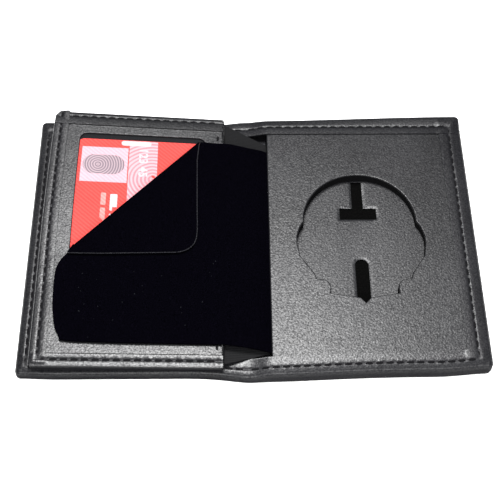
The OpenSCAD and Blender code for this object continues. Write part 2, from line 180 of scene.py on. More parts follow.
class Recipe:
    """A material's node tree while it is being written."""

    def __init__(self, name: str) -> None:
        """Starts a material that has one Principled shader.

        Args:
            name: the material's name.
        """
        self.material = bpy.data.materials.new(name)
        self.material.use_nodes = True
        self.tree = self.material.node_tree
        self.shader = self.tree.nodes["Principled BSDF"]
        self.object_place = self.tree.nodes.new("ShaderNodeTexCoord").outputs["Object"]

    def set(self, **values: object) -> None:
        """Sets sockets of the shader; an underscore in a name stands for a space.

        Args:
            values: the sockets' names and values.
        """
        for name, value in values.items():
            self.shader.inputs[name.replace("_", " ")].default_value = value

    def feed(self, name: str, source: bpy.types.NodeSocket) -> None:
        """Links a source to a socket of the shader."""
        self.tree.links.new(source, self.shader.inputs[name])

    def node(self, kind: str, links: dict[str | int, object], **settings: object) -> bpy.types.Node:
        """Adds a node.

        Args:
            kind: the node's type, without its common prefix.
            links: for each input socket's name or index, another node's output or a plain value.
            settings: properties of the node.

        Returns:
            The new node.
        """
        made = self.tree.nodes.new("ShaderNode" + kind)
        for name, value in settings.items():
            setattr(made, name, value)
        for name, value in links.items():
            socket = made.inputs[name]
            if isinstance(value, bpy.types.NodeSocket):
                self.tree.links.new(value, socket)
            else:
                socket.default_value = value
        return made

    def placed(self, stretch: Sequence[float], centre: Sequence[float] = (0, 0, 0)) -> bpy.types.NodeSocket:
        """Coordinates on the object, moved to a centre and then stretched."""
        moved = self.node("Mapping", {"Vector": self.object_place, "Location": [-c for c in centre]})
        return self.node("Mapping", {"Vector": moved.outputs[0], "Scale": list(stretch)}).outputs[0]

    def cloudy(self, size: float, detail: float = 3, place: object = None) -> bpy.types.NodeSocket:
        """Noise whose features lie about size millimetres apart."""
        links = {"Vector": place or self.object_place, "Scale": 1 / (size * MM), "Detail": detail}
        return self.node("TexNoise", links).outputs[0]

    def cells(self, size: float, feature: str = "F1") -> bpy.types.NodeSocket:
        """Distances in cells that are about size millimetres across."""
        links = {"Vector": self.object_place, "Scale": 1 / (size * MM)}
        return self.node("TexVoronoi", links, feature=feature).outputs["Distance"]

    def waves(self, size: float, place: object = None, bent: float = 0, **way: str) -> bpy.types.NodeSocket:
        """Waves whose crests lie about size millimetres apart."""
        links = {"Vector": place or self.object_place, "Scale": WAVE_SCALE / (size * MM), "Distortion": bent}
        return self.node("TexWave", links, **way).outputs["Fac"]

    def sums(self, first: object, second: object, operation: str = "ADD") -> bpy.types.NodeSocket:
        """The result of arithmetic on two sources or plain numbers."""
        return self.node("Math", {0: first, 1: second}, operation=operation).outputs[0]

    def ramp(
        self, source: bpy.types.NodeSocket, *stops: tuple[float, Sequence[float]]
    ) -> bpy.types.NodeSocket:
        """Colours along a source's value.

        Args:
            source: a value from 0 to 1.
            stops: places and their colours.

        Returns:
            The colour at the source's value.
        """
        made = self.node("ValToRGB", {"Fac": source})
        elements = made.color_ramp.elements
        while len(elements) < len(stops):
            elements.new(0.5)
        for element, (place, colour) in zip(elements, stops):
            element.position = place
            element.color = (*colour, 1)
        return made.outputs["Color"]

    def values(
        self, source: bpy.types.NodeSocket, low: float, high: float, start: float = 0, stop: float = 1
    ) -> bpy.types.NodeSocket:
        """A source from start to stop, spread over another range."""
        return self.node(
            "MapRange", {"Value": source, "From Min": start, "From Max": stop, "To Min": low, "To Max": high},
            clamp=True,
        ).outputs[0]

    def relief(self, *layers: tuple[object, float, float]) -> None:
        """Gives the shader a bumped normal.

        Args:
            layers: a height, its strength and its depth in millimetres, for each layer from below.
        """
        normal = None
        for height, strength, depth in layers:
            links = {"Height": height, "Strength": strength, "Distance": depth * MM}
            if normal is not None:
                links["Normal"] = normal
            normal = self.node("Bump", links).outputs[0]
        self.feed("Normal", normal)


@dataclass(frozen=True)
class Leather:
    """Dyed hide with a fine pebble grain, rubbed a little lighter in broad random patches.

    It is rougher on walls and in seams, and reflects less there as painted shade, where the mesh's layer
    named by sunk says so.
    """

    name: str
    dye: Colour = (0.0035, 0.0035, 0.0042)
    rubbed: Colour = (0.0075, 0.0075, 0.0085)
    grain: float = 0.62
    grain_depth: float = 0.075
    gloss: tuple[float, float] = (0.24, 0.50)
    shine: float = 0.24
    sunk: str = SUNK

    def build(self) -> bpy.types.Material:
        """Writes the material."""
        recipe = Recipe(self.name)
        pebble = recipe.cells(self.grain, "SMOOTH_F1")
        crease = recipe.cells(self.grain * 2.3, "DISTANCE_TO_EDGE")
        cloud = recipe.cloudy(28, 4)
        fine = recipe.cloudy(self.grain * 0.5, 4)
        speck = recipe.cloudy(self.grain, 2)
        sunk = recipe.node("Attribute", {}, attribute_name=self.sunk).outputs["Fac"]
        recipe.feed("Base Color", recipe.ramp(cloud, (0.35, self.dye), (0.75, self.rubbed)))
        mottled = recipe.sums(recipe.sums(cloud, 0.3, "MULTIPLY"), recipe.sums(fine, 0.7, "MULTIPLY"))
        rough = recipe.sums(recipe.values(mottled, *self.gloss), recipe.sums(sunk, 0.25, "MULTIPLY"))
        recipe.feed("Roughness", rough)
        bright = recipe.values(speck, self.shine * 0.45, self.shine * 1.6, 0.34, 0.66)
        # Reflection falls to a tenth where the sunk layer is full: painted shade on walls and in seams
        recipe.feed("Specular IOR Level", recipe.sums(bright, recipe.values(sunk, 1.0, 0.1), "MULTIPLY"))
        recipe.relief(
            (recipe.values(crease, 0.0, 1.0), 0.2, self.grain_depth),
            (pebble, 0.6, self.grain_depth),
            (fine, 0.35, self.grain_depth / 3),
        )
        return recipe.material


@dataclass(frozen=True)
class Felt:
    """Deep black napped felt that hardly shines."""

    name: str
    nap: Colour = (0.00005, 0.00005, 0.0002)
    raised: Colour = (0.0011, 0.0009, 0.002)

    def build(self) -> bpy.types.Material:
        """Writes the material."""
        recipe = Recipe(self.name)
        fibres = recipe.cloudy(0.22, 5)
        tufts = recipe.cloudy(1.4, 4)
        recipe.feed("Base Color", recipe.ramp(fibres, (0.4, self.nap), (0.72, self.raised)))
        recipe.feed("Roughness", recipe.values(tufts, 0.92, 1.0))
        recipe.relief((tufts, 0.4, 0.12), (fibres, 0.8, 0.12))
        recipe.set(Specular_IOR_Level=0.004)
        return recipe.material


@dataclass(frozen=True)
class Weave:
    """Plain woven cloth, or a ribbed band where one way is stronger."""

    name: str
    yarn: Colour = (0.012, 0.012, 0.014)
    lit: Colour = (0.03, 0.03, 0.034)
    pitch: float = 0.9
    rib: float = 0.9
    shine: float = 0.25

    def build(self) -> bpy.types.Material:
        """Writes the material."""
        recipe = Recipe(self.name)
        along = recipe.waves(self.rib, bands_direction="Y")
        across = recipe.waves(self.pitch, bands_direction="X")
        fuzz = recipe.cloudy(0.25, 3)
        height = recipe.sums(along, recipe.sums(across, 0.5, "MULTIPLY"))
        share = recipe.sums(height, 1.5, "DIVIDE")
        recipe.feed("Base Color", recipe.ramp(share, (0.2, self.yarn), (0.9, self.lit)))
        recipe.relief((height, 0.6, 0.08), (fuzz, 0.3, 0.05))
        recipe.set(Roughness=0.8, Specular_IOR_Level=self.shine)
        return recipe.material


@dataclass(frozen=True)
class Thread:
    """Bonded black sewing thread with a slight twist."""

    name: str
    dye: Colour = (0.0015, 0.0015, 0.0018)
    rubbed: Colour = (0.005, 0.005, 0.0055)

    def build(self) -> bpy.types.Material:
        """Writes the material."""
        recipe = Recipe(self.name)
        twist = recipe.cloudy(0.22, 2, recipe.placed((1.0, 1.6, 1.0)))
        recipe.feed("Base Color", recipe.ramp(twist, (0.35, self.dye), (0.75, self.rubbed)))
        recipe.relief((twist, 0.6, 0.08))
        recipe.set(Roughness=0.9, Specular_IOR_Level=0.06)
        return recipe.material


@dataclass(frozen=True)
class Board:
    """Black pressed fibre board."""

    name: str
    fibre: Colour = (0.0005, 0.0005, 0.0005)
    speck: Colour = (0.0015, 0.0015, 0.0014)

    def build(self) -> bpy.types.Material:
        """Writes the material."""
        recipe = Recipe(self.name)
        fibres = recipe.cloudy(0.6, 6)
        recipe.feed("Base Color", recipe.ramp(fibres, (0.45, self.fibre), (0.8, self.speck)))
        recipe.relief((fibres, 0.4, 0.06))
        recipe.set(Roughness=0.95, Specular_IOR_Level=0.02)
        return recipe.material


@dataclass(frozen=True)
class Foam:
    """Dense black foam with fine closed pores."""

    name: str
    pore: Colour = (0.0015, 0.0015, 0.0015)
    skin: Colour = (0.004, 0.004, 0.0045)

    def build(self) -> bpy.types.Material:
        """Writes the material."""
        recipe = Recipe(self.name)
        pores = recipe.cells(0.35)
        recipe.feed("Base Color", recipe.ramp(pores, (0.2, self.pore), (0.8, self.skin)))
        recipe.relief((pores, 0.5, 0.08))
        recipe.set(Roughness=0.85, Specular_IOR_Level=0.06)
        return recipe.material


@dataclass(frozen=True)
class Film:
    """Clear, slightly rippled plastic."""

    name: str

    def build(self) -> bpy.types.Material:
        """Writes the material."""
        recipe = Recipe(self.name)
        ripple = recipe.cloudy(14, 1)
        recipe.relief((ripple, 0.12, 0.2))
        recipe.set(Base_Color=(0.05, 0.05, 0.055, 1), Roughness=0.08, Alpha=0.07, Specular_IOR_Level=0.3)
        return recipe.material


@dataclass(frozen=True)
class Print:
    """A printed colour with a fine screen of straight lines, or of rings round a centre."""

    name: str
    ink: Colour
    screen: Colour
    line: float = 0.9
    centre: tuple[float, float, float] | None = None

    def build(self) -> bpy.types.Material:
        """Writes the material."""
        recipe = Recipe(self.name)
        if self.centre is None:
            waves = recipe.waves(self.line, bent=0.8, bands_direction="DIAGONAL")
        else:
            place = recipe.placed((1, 1, 1), [c * MM for c in self.centre])
            waves = recipe.waves(self.line, place, 0.8, wave_type="RINGS", rings_direction="Z")
        cloud = recipe.cloudy(9, 3)
        tone = recipe.sums(recipe.sums(waves, 0.6, "MULTIPLY"), recipe.sums(cloud, 0.4, "MULTIPLY"))
        recipe.feed("Base Color", recipe.ramp(tone, (0.25, self.ink), (0.75, self.screen)))
        recipe.set(Roughness=0.6, Specular_IOR_Level=0.05)
        return recipe.material


class Finishes:
    """Every material of the wallet, each written once."""

    def __init__(self) -> None:
        """Writes the materials."""
        self.cover = Leather("cover hide", shine=0.27).build()
        self.face = Leather(
            "panel face hide", dye=(0.0045, 0.0045, 0.005), rubbed=(0.008, 0.008, 0.009)
        ).build()
        self.floor = Leather("recess floor hide", gloss=(0.29, 0.50)).build()
        self.board = Board("fibre board").build()
        self.lining = Weave("cotton lining").build()
        self.band = Weave(
            "ribbed band", rib=0.7, pitch=0.5,
            yarn=(0.0012, 0.0012, 0.0014), lit=(0.0045, 0.0045, 0.005), shine=0.12,
        ).build()
        self.felt = Felt("napped felt").build()
        # A lighter felt for the painted highlight strip along the folded corner's cut edge
        self.felt_edge_highlight = Felt("felt cut edge highlight", (0.001, 0.001, 0.0015), (0.022, 0.022, 0.025)).build()
        self.lint = Board("lint", (0.006, 0.0065, 0.008), (0.02, 0.021, 0.025)).build()
        self.foam = Foam("foam pad").build()
        self.thread = Thread("sewing thread").build()
        self.film = Film("window film").build()
        self.card = Print("card ground", (0.40, 0.026, 0.021), (0.45, 0.041, 0.034)).build()
        self.card_pale = Print("card pale field", (0.36, 0.20, 0.23), (0.39, 0.24, 0.27)).build()
        self.card_band = Print(
            "card pink band", (0.40, 0.12, 0.14), (0.42, 0.23, 0.25), 1.5, (-39.0, 24.0, 0)
        ).build()
        self.card_whorl = Print(
            "card grey whorl", (0.11, 0.085, 0.10), (0.24, 0.18, 0.20), 1.0, (-60.5, 30.0, 0)
        ).build()
        self.card_white = Print("card pale marks", (0.39, 0.27, 0.28), (0.41, 0.30, 0.31)).build()
        self.card_marks = Print("card light marks", (0.38, 0.13, 0.12), (0.39, 0.17, 0.16)).build()


# Mesh helpers


def make_piece(
    name: str, bm: bmesh.types.BMesh, finish: bpy.types.Material, sharp: float = 45
) -> bpy.types.Object:
    """Makes a piece from a mesh that is drawn in millimetres.

    Args:
        name: the piece's name.
        bm: its mesh, which is freed.
        finish: its material.
        sharp: the angle in degrees from which an edge stays sharp.

    Returns:
        The new object, at the origin.
    """
    bmesh.ops.scale(bm, vec=(MM, MM, MM), verts=bm.verts)
    bm.edges.index_update()
    rims = [e.index for e in bm.edges if e.is_boundary]
    mesh = bpy.data.meshes.new(name)
    bm.to_mesh(mesh)
    bm.free()
    mesh.materials.append(finish)
    mesh.shade_smooth()
    mesh.set_sharp_from_angle(angle=math.radians(sharp))
    for index in rims:
        mesh.edges[index].use_edge_sharp = True
    piece = bpy.data.objects.new(name, mesh)
    bpy.context.scene.collection.objects.link(piece)
    return piece


def thicken(piece: bpy.types.Object, thickness: float, offset: float = -1, round_r: float = 0) -> None:
    """Gives a sheet its thickness, and rounds its cut edges.

    Args:
        piece: the sheet.
        thickness: in millimetres.
        offset: -1 for all of it on the inner side of the faces, 0 for half on each.
        round_r: the width of the rounding at the cut edges, or 0 for none.
    """
    solid = piece.modifiers.new("thickness", "SOLIDIFY")
    solid.thickness = thickness * MM
    solid.offset = offset
    if round_r:
        round_cuts(piece, round_r, 60)


def round_cuts(piece: bpy.types.Object, width: float, angle: float) -> None:
    """Rounds a piece's cut edges.

    Args:
        piece: the piece.
        width: of the rounding, in millimetres.
        angle: the angle in degrees from which an edge is rounded.
    """
    rounding = piece.modifiers.new("cut edge", "BEVEL")
    rounding.width = width * MM
    rounding.segments = 2
    rounding.profile = 0.5
    rounding.limit_method = "ANGLE"
    rounding.angle_limit = math.radians(angle)


def keep_flats(piece: bpy.types.Object) -> None:
    """Keeps the wide faces of a rounded piece flat."""
    piece.modifiers.new("flat faces", "WEIGHTED_NORMAL").keep_sharp = True


def soften_edges(
    bm: bmesh.types.BMesh, width: float, segments: int = 2, angle: float = 40, above: float = -1e9
) -> None:
    """Rounds every edge of a mesh that turns by more than an angle.

    Args:
        bm: the mesh.
        width: of the rounding, in millimetres.
        segments: of the rounding.
        angle: in degrees.
        above: the height above which an edge must lie.
    """
    edges = [
        e for e in bm.edges
        if len(e.link_faces) == 2 and e.calc_face_angle() > math.radians(angle)
        and min(v.co.z for v in e.verts) > above
    ]
    bmesh.ops.bevel(
        bm, geom=edges, offset=width, offset_type="OFFSET", segments=segments, profile=0.5,
        affect="EDGES", material=-1, clamp_overlap=True,
    )


def copy_of_node(node: str) -> bmesh.types.BMesh:
    """A merged copy of a node's mesh, in millimetres.

    Args:
        node: the node's name.

    Returns:
        The copy.
    """
    bm = bmesh.new()
    bm.from_mesh(frame["nodes"][node].data)
    bmesh.ops.scale(bm, vec=(1 / MM, 1 / MM, 1 / MM), verts=bm.verts)
    bmesh.ops.remove_doubles(bm, verts=bm.verts, dist=0.0005)
    bmesh.ops.dissolve_limit(
        bm, angle_limit=math.radians(0.5), verts=bm.verts, edges=bm.edges, use_dissolve_boundaries=False
    )
    return bm


def rounded_layer(
    node: str, body: Body, slot: Slot, finish: bpy.types.Material, width: float = 0.12, segments: int = 2,
    form: Callable[[bmesh.types.BMesh], None] | None = None, above: float = -1e9,
) -> bpy.types.Object:
    """A layer of the frame with its cut edges rounded.

    Args:
        node: the node that the layer stands for.
        body: the body that it rides on.
        slot: its material slot.
        finish: its material.
        width: of the rounding, in millimetres.
        segments: of the rounding.
        form: gives the layer its soft form, or None to leave it flat.
        above: the height above which an edge must lie to be rounded.

    Returns:
        The new piece.
    """
    bm = copy_of_node(node)
    soften_edges(bm, width, segments, above=above)
    if form is not None:
        form(bm)
    piece = make_piece(node + "_dressed", bm, finish, sharp=80)
    keep_flats(piece)
    settle(piece, slot, node, body=body)
    return piece


def settle(piece: bpy.types.Object, slot: Slot, *nodes: str, body: Body | None = None) -> None:
    """Puts a piece in the frame.

    Args:
        piece: the piece.
        slot: not used.
        nodes: the nodes that it stands for.
        body: the body that it rides on, or None to leave it on no body.
    """
    if body is not None:
        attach(piece, body.value)
    if nodes:
        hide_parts(*nodes)
    log.info("%s: %d faces", piece.name, len(piece.data.polygons))


def bend_between(piece: bpy.types.Object) -> None:
    """Bakes a piece's place into its mesh.

    Args:
        piece: the piece.
    """
    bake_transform(piece)


def extend_edges(
    bm: bmesh.types.BMesh, edges: Sequence[bmesh.types.BMEdge], place: Callable[[bmesh.types.BMVert], Vector]
) -> list[bmesh.types.BMEdge]:
    """Extrudes a row of edges and places each new vertex.

    Args:
        bm: the mesh.
        edges: the row.
        place: gives a new vertex's point from the layers that it carries.

    Returns:
        The new row.
    """
    grown = bmesh.ops.extrude_edge_only(bm, edges=list(edges))["geom"]
    fresh = {g for g in grown if isinstance(g, bmesh.types.BMVert)}
    for vert in fresh:
        vert.co = place(vert)
    return [
        g for g in grown if isinstance(g, bmesh.types.BMEdge) and all(v in fresh for v in g.verts)
    ]


def all_of(bm: bmesh.types.BMesh) -> list:
    """Every vertex, edge and face of a mesh."""
    return bm.verts[:] + bm.edges[:] + bm.faces[:]


def cut_rows(bm: bmesh.types.BMesh, along: Vector, start: float, stop: float, step: float) -> None:
    """Cuts a mesh into rows that lie about a step apart.

    Args:
        bm: the mesh.
        along: the unit direction across the rows.
        start: the first end, as a distance along it.
        stop: the second end.
        step: the distance between rows.
    """
    count = max(1, round(abs(stop - start) / step))
    for i in range(1, count):
        at = along * mix(start, stop, i / count)
        bmesh.ops.bisect_plane(bm, geom=all_of(bm), dist=1e-4, plane_co=at, plane_no=along)


def cut_cells(
    bm: bmesh.types.BMesh, xs: tuple[float, float], ys: tuple[float, float], step: float
) -> None:
    """Cuts a mesh into cells.

    Args:
        bm: the mesh.
        xs: where the cells start and stop across.
        ys: where they start and stop along.
        step: the size of a cell.
    """
    cut_rows(bm, ACROSS, *xs, step)
    cut_rows(bm, ALONG, *ys, step)


def face_out(bm: bmesh.types.BMesh) -> None:
    """Turns the faces of an open hide outwards, so that its highest one looks up."""
    bmesh.ops.recalc_face_normals(bm, faces=bm.faces)
    if max(bm.faces, key=lambda f: f.calc_center_median().z).normal.z < 0:
        bmesh.ops.reverse_faces(bm, faces=bm.faces)


def mark_sunk(bm: bmesh.types.BMesh, share: Callable[[Vector], float]) -> None:
    """Stores how far each point lies out of the light, from 0 to 1."""
    layer = bm.verts.layers.float.new(SUNK)
    for vert in bm.verts:
        vert[layer] = share(vert.co)


def area_of(bm: bmesh.types.BMesh) -> float:
    """The area of all faces of a mesh."""
    return sum(f.calc_area() for f in bm.faces)


def flat_outline(
    points: Sequence[tuple[float, float]], radii: Sequence[float], z: float, segments: int = 6
) -> bmesh.types.BMesh:
    """A flat face with rounded corners.

    Args:
        points: its corners, going round anticlockwise.
        radii: the radius at each corner, or 0.
        z: its height.
        segments: of each rounded corner.

    Returns:
        A mesh of that one face.
    """
    bm = bmesh.new()
    corners = [bm.verts.new((x, y, z)) for x, y in points]
    bm.faces.new(corners)
    for corner, radius in zip(corners, radii):
        if radius:
            bmesh.ops.bevel(
                bm, geom=[corner], offset=radius, offset_type="OFFSET", segments=segments, profile=0.5,
                affect="VERTICES", material=-1,
            )
    return bm


# Turned edges and seams


@dataclass(frozen=True)
class TurnedEdge:
    """Heights across an edge whose hide is turned over and sewn, by distance from its outer side."""

    rim: float
    seam: float
    top: float
    seam_at: float
    hem: float
    shoulder: float = 1.9
    crest: float = 0.06
    groove: float = 0.22
    groove_w: float = 0.46

    def height(self, inset: float) -> float:
        """The height of the hide's outer side, before any stitch pulls it down.

        Args:
            inset: the distance from the outer side.

        Returns:
            The height.
        """
        if inset <= self.shoulder:
            drop = self.shoulder - inset
            return self.rim - self.shoulder + math.sqrt(max(0.0, self.shoulder**2 - drop**2))
        if inset <= self.seam_at:
            share = (inset - self.shoulder) / (self.seam_at - self.shoulder)
            return mix(self.rim, self.seam, share) + self.crest * 4 * share * (1 - share)
        share = min(1.0, (inset - self.seam_at) / (self.hem - self.seam_at))
        return self.top - (self.top - self.seam) * (1 - share) ** 1.7

    def pull(self, inset: float, along: float, pitch: float) -> float:
        """How far the seam pulls the hide down, most at each needle hole.

        Args:
            inset: the distance from the outer side.
            along: the distance along the seam from a needle hole.
            pitch: the distance between needle holes.

        Returns:
            The depth of the pull.
        """
        hole = (0.5 + 0.5 * math.cos(2 * math.pi * along / pitch)) ** 2
        width = self.groove_w * (1 + (0.8 * hole if inset > self.seam_at else 0.1 * hole))
        return self.groove * (0.8 + 0.3 * hole) * math.exp(-(((inset - self.seam_at) / width) ** 2))

    def rows(self) -> list[float]:
        """Distances at which the turned hem is cut into rows, closer at the seam."""
        places = [self.shoulder]
        while places[-1] < self.hem - 0.3:
            near = abs(places[-1] - self.seam_at) < 1.0
            places.append(places[-1] + (0.2 if near else 0.5))
        return places[1:] + [self.hem]

    def rim_insets(self, steps: int = 5) -> list[float]:
        """Distances at which the rounded shoulder is cut into rows."""
        return [self.shoulder * (1 - math.cos(math.pi / 2 * i / steps)) for i in range(1, steps + 1)]


@dataclass(frozen=True)
class Stitching:
    """The sizes of the sewing thread and its stitches."""

    length: float = 2.95
    pitch: float = 3.7
    wide: float = 1.0
    thick: float = 0.55
    rise: float = 0.26
    dip: float = 0.16

    def first_hole(self, start: float, stop: float) -> float:
        """The place of the first needle hole on a straight seam.

        Args:
            start: where the seam starts.
            stop: where it stops.

        Returns:
            The place along the seam.
        """
        count = math.floor((stop - start) / self.pitch)
        return start + (stop - start - count * self.pitch) / 2

    def sew(
        self, bm: bmesh.types.BMesh, start: Vector, stop: Vector, height: Callable[[Vector], float]
    ) -> None:
        """Adds a straight row of stitches.

        Args:
            bm: the mesh of the thread.
            start: where the row starts.
            stop: where it stops.
            height: the height of the hide at a point.
        """
        run = (stop - start).length
        heading = (stop - start).normalized()
        turn = Matrix.Rotation(math.atan2(heading.y, heading.x), 4, "Z")
        count = math.floor(run / self.pitch)
        slack = (run - count * self.pitch) / 2
        for i in range(count):
            middle = start + heading * (slack + (i + 0.5) * self.pitch)
            made = bmesh.ops.create_uvsphere(bm, u_segments=8, v_segments=6, radius=1.0)["verts"]
            bmesh.ops.rotate(bm, verts=made, matrix=Matrix.Rotation(math.pi / 2, 3, "Y"))
            for vert in made:
                fuller = max(1e-6, math.hypot(vert.co.y, vert.co.z)) ** -0.55
                vert.co = Vector((vert.co.x, vert.co.y * fuller, vert.co.z * fuller))
            bmesh.ops.scale(bm, verts=made, vec=(self.length / 2, self.wide / 2, self.thick / 2))
            for vert in made:
                reach = abs(vert.co.x) / (self.length / 2)
                vert.co.z += self.rise / 2 - self.dip * 2 * reach**3
            bmesh.ops.transform(bm, verts=made, matrix=turn)
            for vert in made:
                at = middle + Vector((vert.co.x, vert.co.y, 0))
                vert.co = Vector((at.x, at.y, vert.co.z + height(at)))


@dataclass
class WrappedHide:
    """A hide plate whose outer side and ends are turned up and over as hems.

    It is drawn with its outer side at zero width, and its width grows inwards. Each row of the wall has
    its distance inwards and its share of the height up to the shoulder.
    """

    name: str
    width: float
    front: float
    far: float
    floor: float
    side: TurnedEdge
    front_edge: TurnedEdge
    far_edge: TurnedEdge | None = None
    front_inner: TurnedEdge | None = None
    far_inner: TurnedEdge | None = None
    corner_r: float = 2.0
    foot: float = 0.45
    step: float = 0.62
    lap: float = 0.22
    turn_from: float = 0
    turn_to: float = 1
    bulge: float = 0
    fold_columns: int = 0
    wall: tuple[tuple[float, float], ...] = ((0.5, 0.03), (0.12, 0.16), (0.0, 0.36), (0.0, 0.6), (0.04, 0.82))
    stitching: Stitching = field(default_factory=Stitching)

    def inner_share(self, across: float) -> float:
        """How far the edges have gone over to the inner edges' heights.

        Args:
            across: the distance from the outer side.

        Returns:
            A share from 0 to 1.
        """
        if self.front_inner is None:
            return 0.0
        return smooth((across - self.turn_from) / (self.turn_to - self.turn_from))

    def end_at(self, y: float) -> tuple[TurnedEdge, TurnedEdge, float]:
        """The turned end that is nearest to a place.

        Args:
            y: the place along the length.

        Returns:
            The end's edge, the edge it goes over to at the inner side, and the distance from the end.
        """
        if self.far_edge is not None and self.far - y < y - self.front:
            return self.far_edge, self.far_inner or self.far_edge, self.far - y
        return self.front_edge, self.front_inner or self.front_edge, y - self.front

    def side_seam(self) -> tuple[float, float]:
        """Where the side seam starts and stops, along the length."""
        stop = self.far - self.far_edge.seam_at if self.far_edge else self.far
        return self.front + self.front_edge.seam_at, stop

    def end_seam(self) -> tuple[float, float]:
        """Where the end seams start and stop, across the width."""
        return self.side.seam_at, self.width

    def level(self, across: float, y: float) -> float:
        """The height of the turned hide, without the pull of the stitches.

        Args:
            across: the distance from the outer side.
            y: the place along the length.

        Returns:
            The height.
        """
        edge, inner, inset = self.end_at(y)
        share = self.inner_share(across)
        end = mix(edge.height(inset), inner.height(inset), share)
        return mix(min(self.side.height(across), end), end, share)

    def height(self, across: float, y: float) -> float:
        """The height of the turned hide, with the pull of the stitches."""
        return self.level(across, y) - self.depth(across, y)

    def depth(self, across: float, y: float) -> float:
        """How far the stitches pull the turned hide down.

        Args:
            across: the distance from the outer side.
            y: the place along the length.

        Returns:
            The depth.
        """
        pitch = self.stitching.pitch
        edge, _, inset = self.end_at(y)
        side_hole = self.stitching.first_hole(*self.side_seam())
        end_hole = self.stitching.first_hole(*self.end_seam())
        on_side = smooth(inset - edge.seam_at + 1)
        on_end = smooth(across - self.side.seam_at + 1)
        return max(
            on_side * self.side.pull(across, y - side_hole, pitch),
            on_end * edge.pull(inset, across - end_hole, pitch),
        )

    def sunk(self, point: Vector) -> float:
        """How far a point of the hide lies out of the light, on a wall or in a seam.

        Args:
            point: a point of the drawn hide.

        Returns:
            A share from 0 to 1.
        """
        wall = smooth((self.level_of_rim(point) - 0.5 - point.z) / 1.2)
        return max(wall, min(1.0, SEAM_PAINTED_SHADE * self.depth(point.x, point.y) / self.side.groove))

    def lap_at(self, across: float, inset: float) -> float:
        """How far an end hem is lifted where it laps over the side hem.

        Args:
            across: the distance from the outer side.
            inset: the distance from the end.

        Returns:
            The lift.
        """
        past = 1 - smooth((across - self.side.hem + 0.4) / 1.6)
        off_rim = smooth((inset - self.side.shoulder) / 1.2)
        return self.lap * past * off_rim * (0.3 + 0.7 * smooth((across - self.side.shoulder) / 1.2))

    def columns(self) -> list[float]:
        """The widths at which the plate is cut, closer where it folds."""
        if not self.fold_columns:
            return [0, self.width]
        first = self.turn_from - 2
        return [0, first / 2] + [
            mix(first, self.width, i / self.fold_columns) for i in range(self.fold_columns + 1)
        ]

    def plate(self) -> bmesh.types.BMesh:
        """The plate, with its outline and inward directions stored on its turned edges.

        Returns:
            The plate's mesh.
        """
        columns = self.columns()
        bm = bmesh.new()
        bmesh.ops.create_grid(bm, x_segments=len(columns) - 1, y_segments=4, size=1.0)
        reach = max(v.co.x for v in bm.verts)
        middle, half = (self.front + self.far) / 2, (self.far - self.front) / 2
        for vert in bm.verts:
            index = round((vert.co.x / reach + 1) / 2 * (len(columns) - 1))
            vert.co = Vector((columns[index], middle + vert.co.y / reach * half, self.floor))
        ends = [self.front, self.far] if self.far_edge else [self.front]
        corners = [v for v in bm.verts if v.co.x < 1e-6 and min(abs(v.co.y - y) for y in ends) < 1e-6]
        bmesh.ops.bevel(
            bm, geom=corners, offset=self.corner_r, offset_type="OFFSET", segments=5, profile=0.5,
            affect="VERTICES", material=-1,
        )
        for edge in self.outer_row(bm):
            cuts = round(edge.calc_length() / self.step) - 1
            if cuts > 0:
                bmesh.ops.subdivide_edges(bm, edges=[edge], cuts=cuts)
        return bm

    def outer_row(self, bm: bmesh.types.BMesh) -> list[bmesh.types.BMEdge]:
        """The boundary edges of the plate that are turned up.

        Args:
            bm: the plate.

        Returns:
            Its edges on the outer side and the turned ends.
        """

        def turned(edge: bmesh.types.BMEdge) -> bool:
            """Whether a boundary edge is turned up."""
            xs = [v.co.x for v in edge.verts]
            ys = [v.co.y for v in edge.verts]
            inner = min(xs) > self.width - 1e-6
            plain_far = self.far_edge is None and min(ys) > self.far - 1e-6
            return edge.is_boundary and not inner and not plain_far

        return [e for e in bm.edges if turned(e)]

    def inward(self, point: Vector) -> Vector:
        """The inward direction at a point of the outline.

        Args:
            point: on the outline.

        Returns:
            A unit vector.
        """
        r = self.corner_r
        down = r - (point.y - self.front)
        up = r - (self.far - point.y) if self.far_edge else -1.0
        side = r - point.x
        if side > 1e-6 and (down > 1e-6 or up > 1e-6):
            y = self.front + r if down > up else self.far - r
            return (Vector((r, y, 0)) - Vector((point.x, point.y, 0))).normalized()
        if point.x < 1e-6:
            return Vector((1, 0, 0))
        return Vector((0, 1 if point.y < (self.front + self.far) / 2 else -1, 0))

    def build(self) -> bmesh.types.BMesh:
        """Draws the hide's outer side.

        Returns:
            Its mesh, with its faces pointing outwards.
        """
        bm = self.plate()
        outline = bm.verts.layers.float_vector.new("outline")
        heading = bm.verts.layers.float_vector.new("heading")
        row = self.outer_row(bm)
        for vert in {v for e in row for v in e.verts}:
            vert[outline] = vert.co
            vert[heading] = self.inward(vert.co)
            vert.co = vert.co + vert[heading] * self.foot
        for inset, share in self.wall:
            row = extend_edges(bm, row, lambda v: self.wall_point(v[outline], v[heading], inset, share))
        for inset in self.side.rim_insets():
            row = extend_edges(bm, row, lambda v: self.rim_point(v[outline], v[heading], inset))
        side = [e for e in row if all(v[heading].x > 0.999 for v in e.verts)]
        middle = (self.front + self.far) / 2
        front = [e for e in row if e not in set(side) and e.verts[0].co.y < middle]
        far = [e for e in row if e not in set(side) and e.verts[0].co.y >= middle]
        for vert in {v for e in row for v in e.verts}:
            vert[outline] = vert.co
        for inset in self.side.rows():
            side = extend_edges(bm, side, lambda v: self.side_point(v[outline], inset))
        for inset in self.front_edge.rows():
            front = extend_edges(bm, front, lambda v: self.end_point(v[outline], inset))
        for inset in self.far_edge.rows() if self.far_edge else ():
            far = extend_edges(bm, far, lambda v: self.end_point(v[outline], inset))
        face_out(bm)
        mark_sunk(bm, self.sunk)
        return bm

    def push(self, across: float) -> float:
        """How far an end stands out past its straight line."""
        return self.bulge * self.inner_share(across)

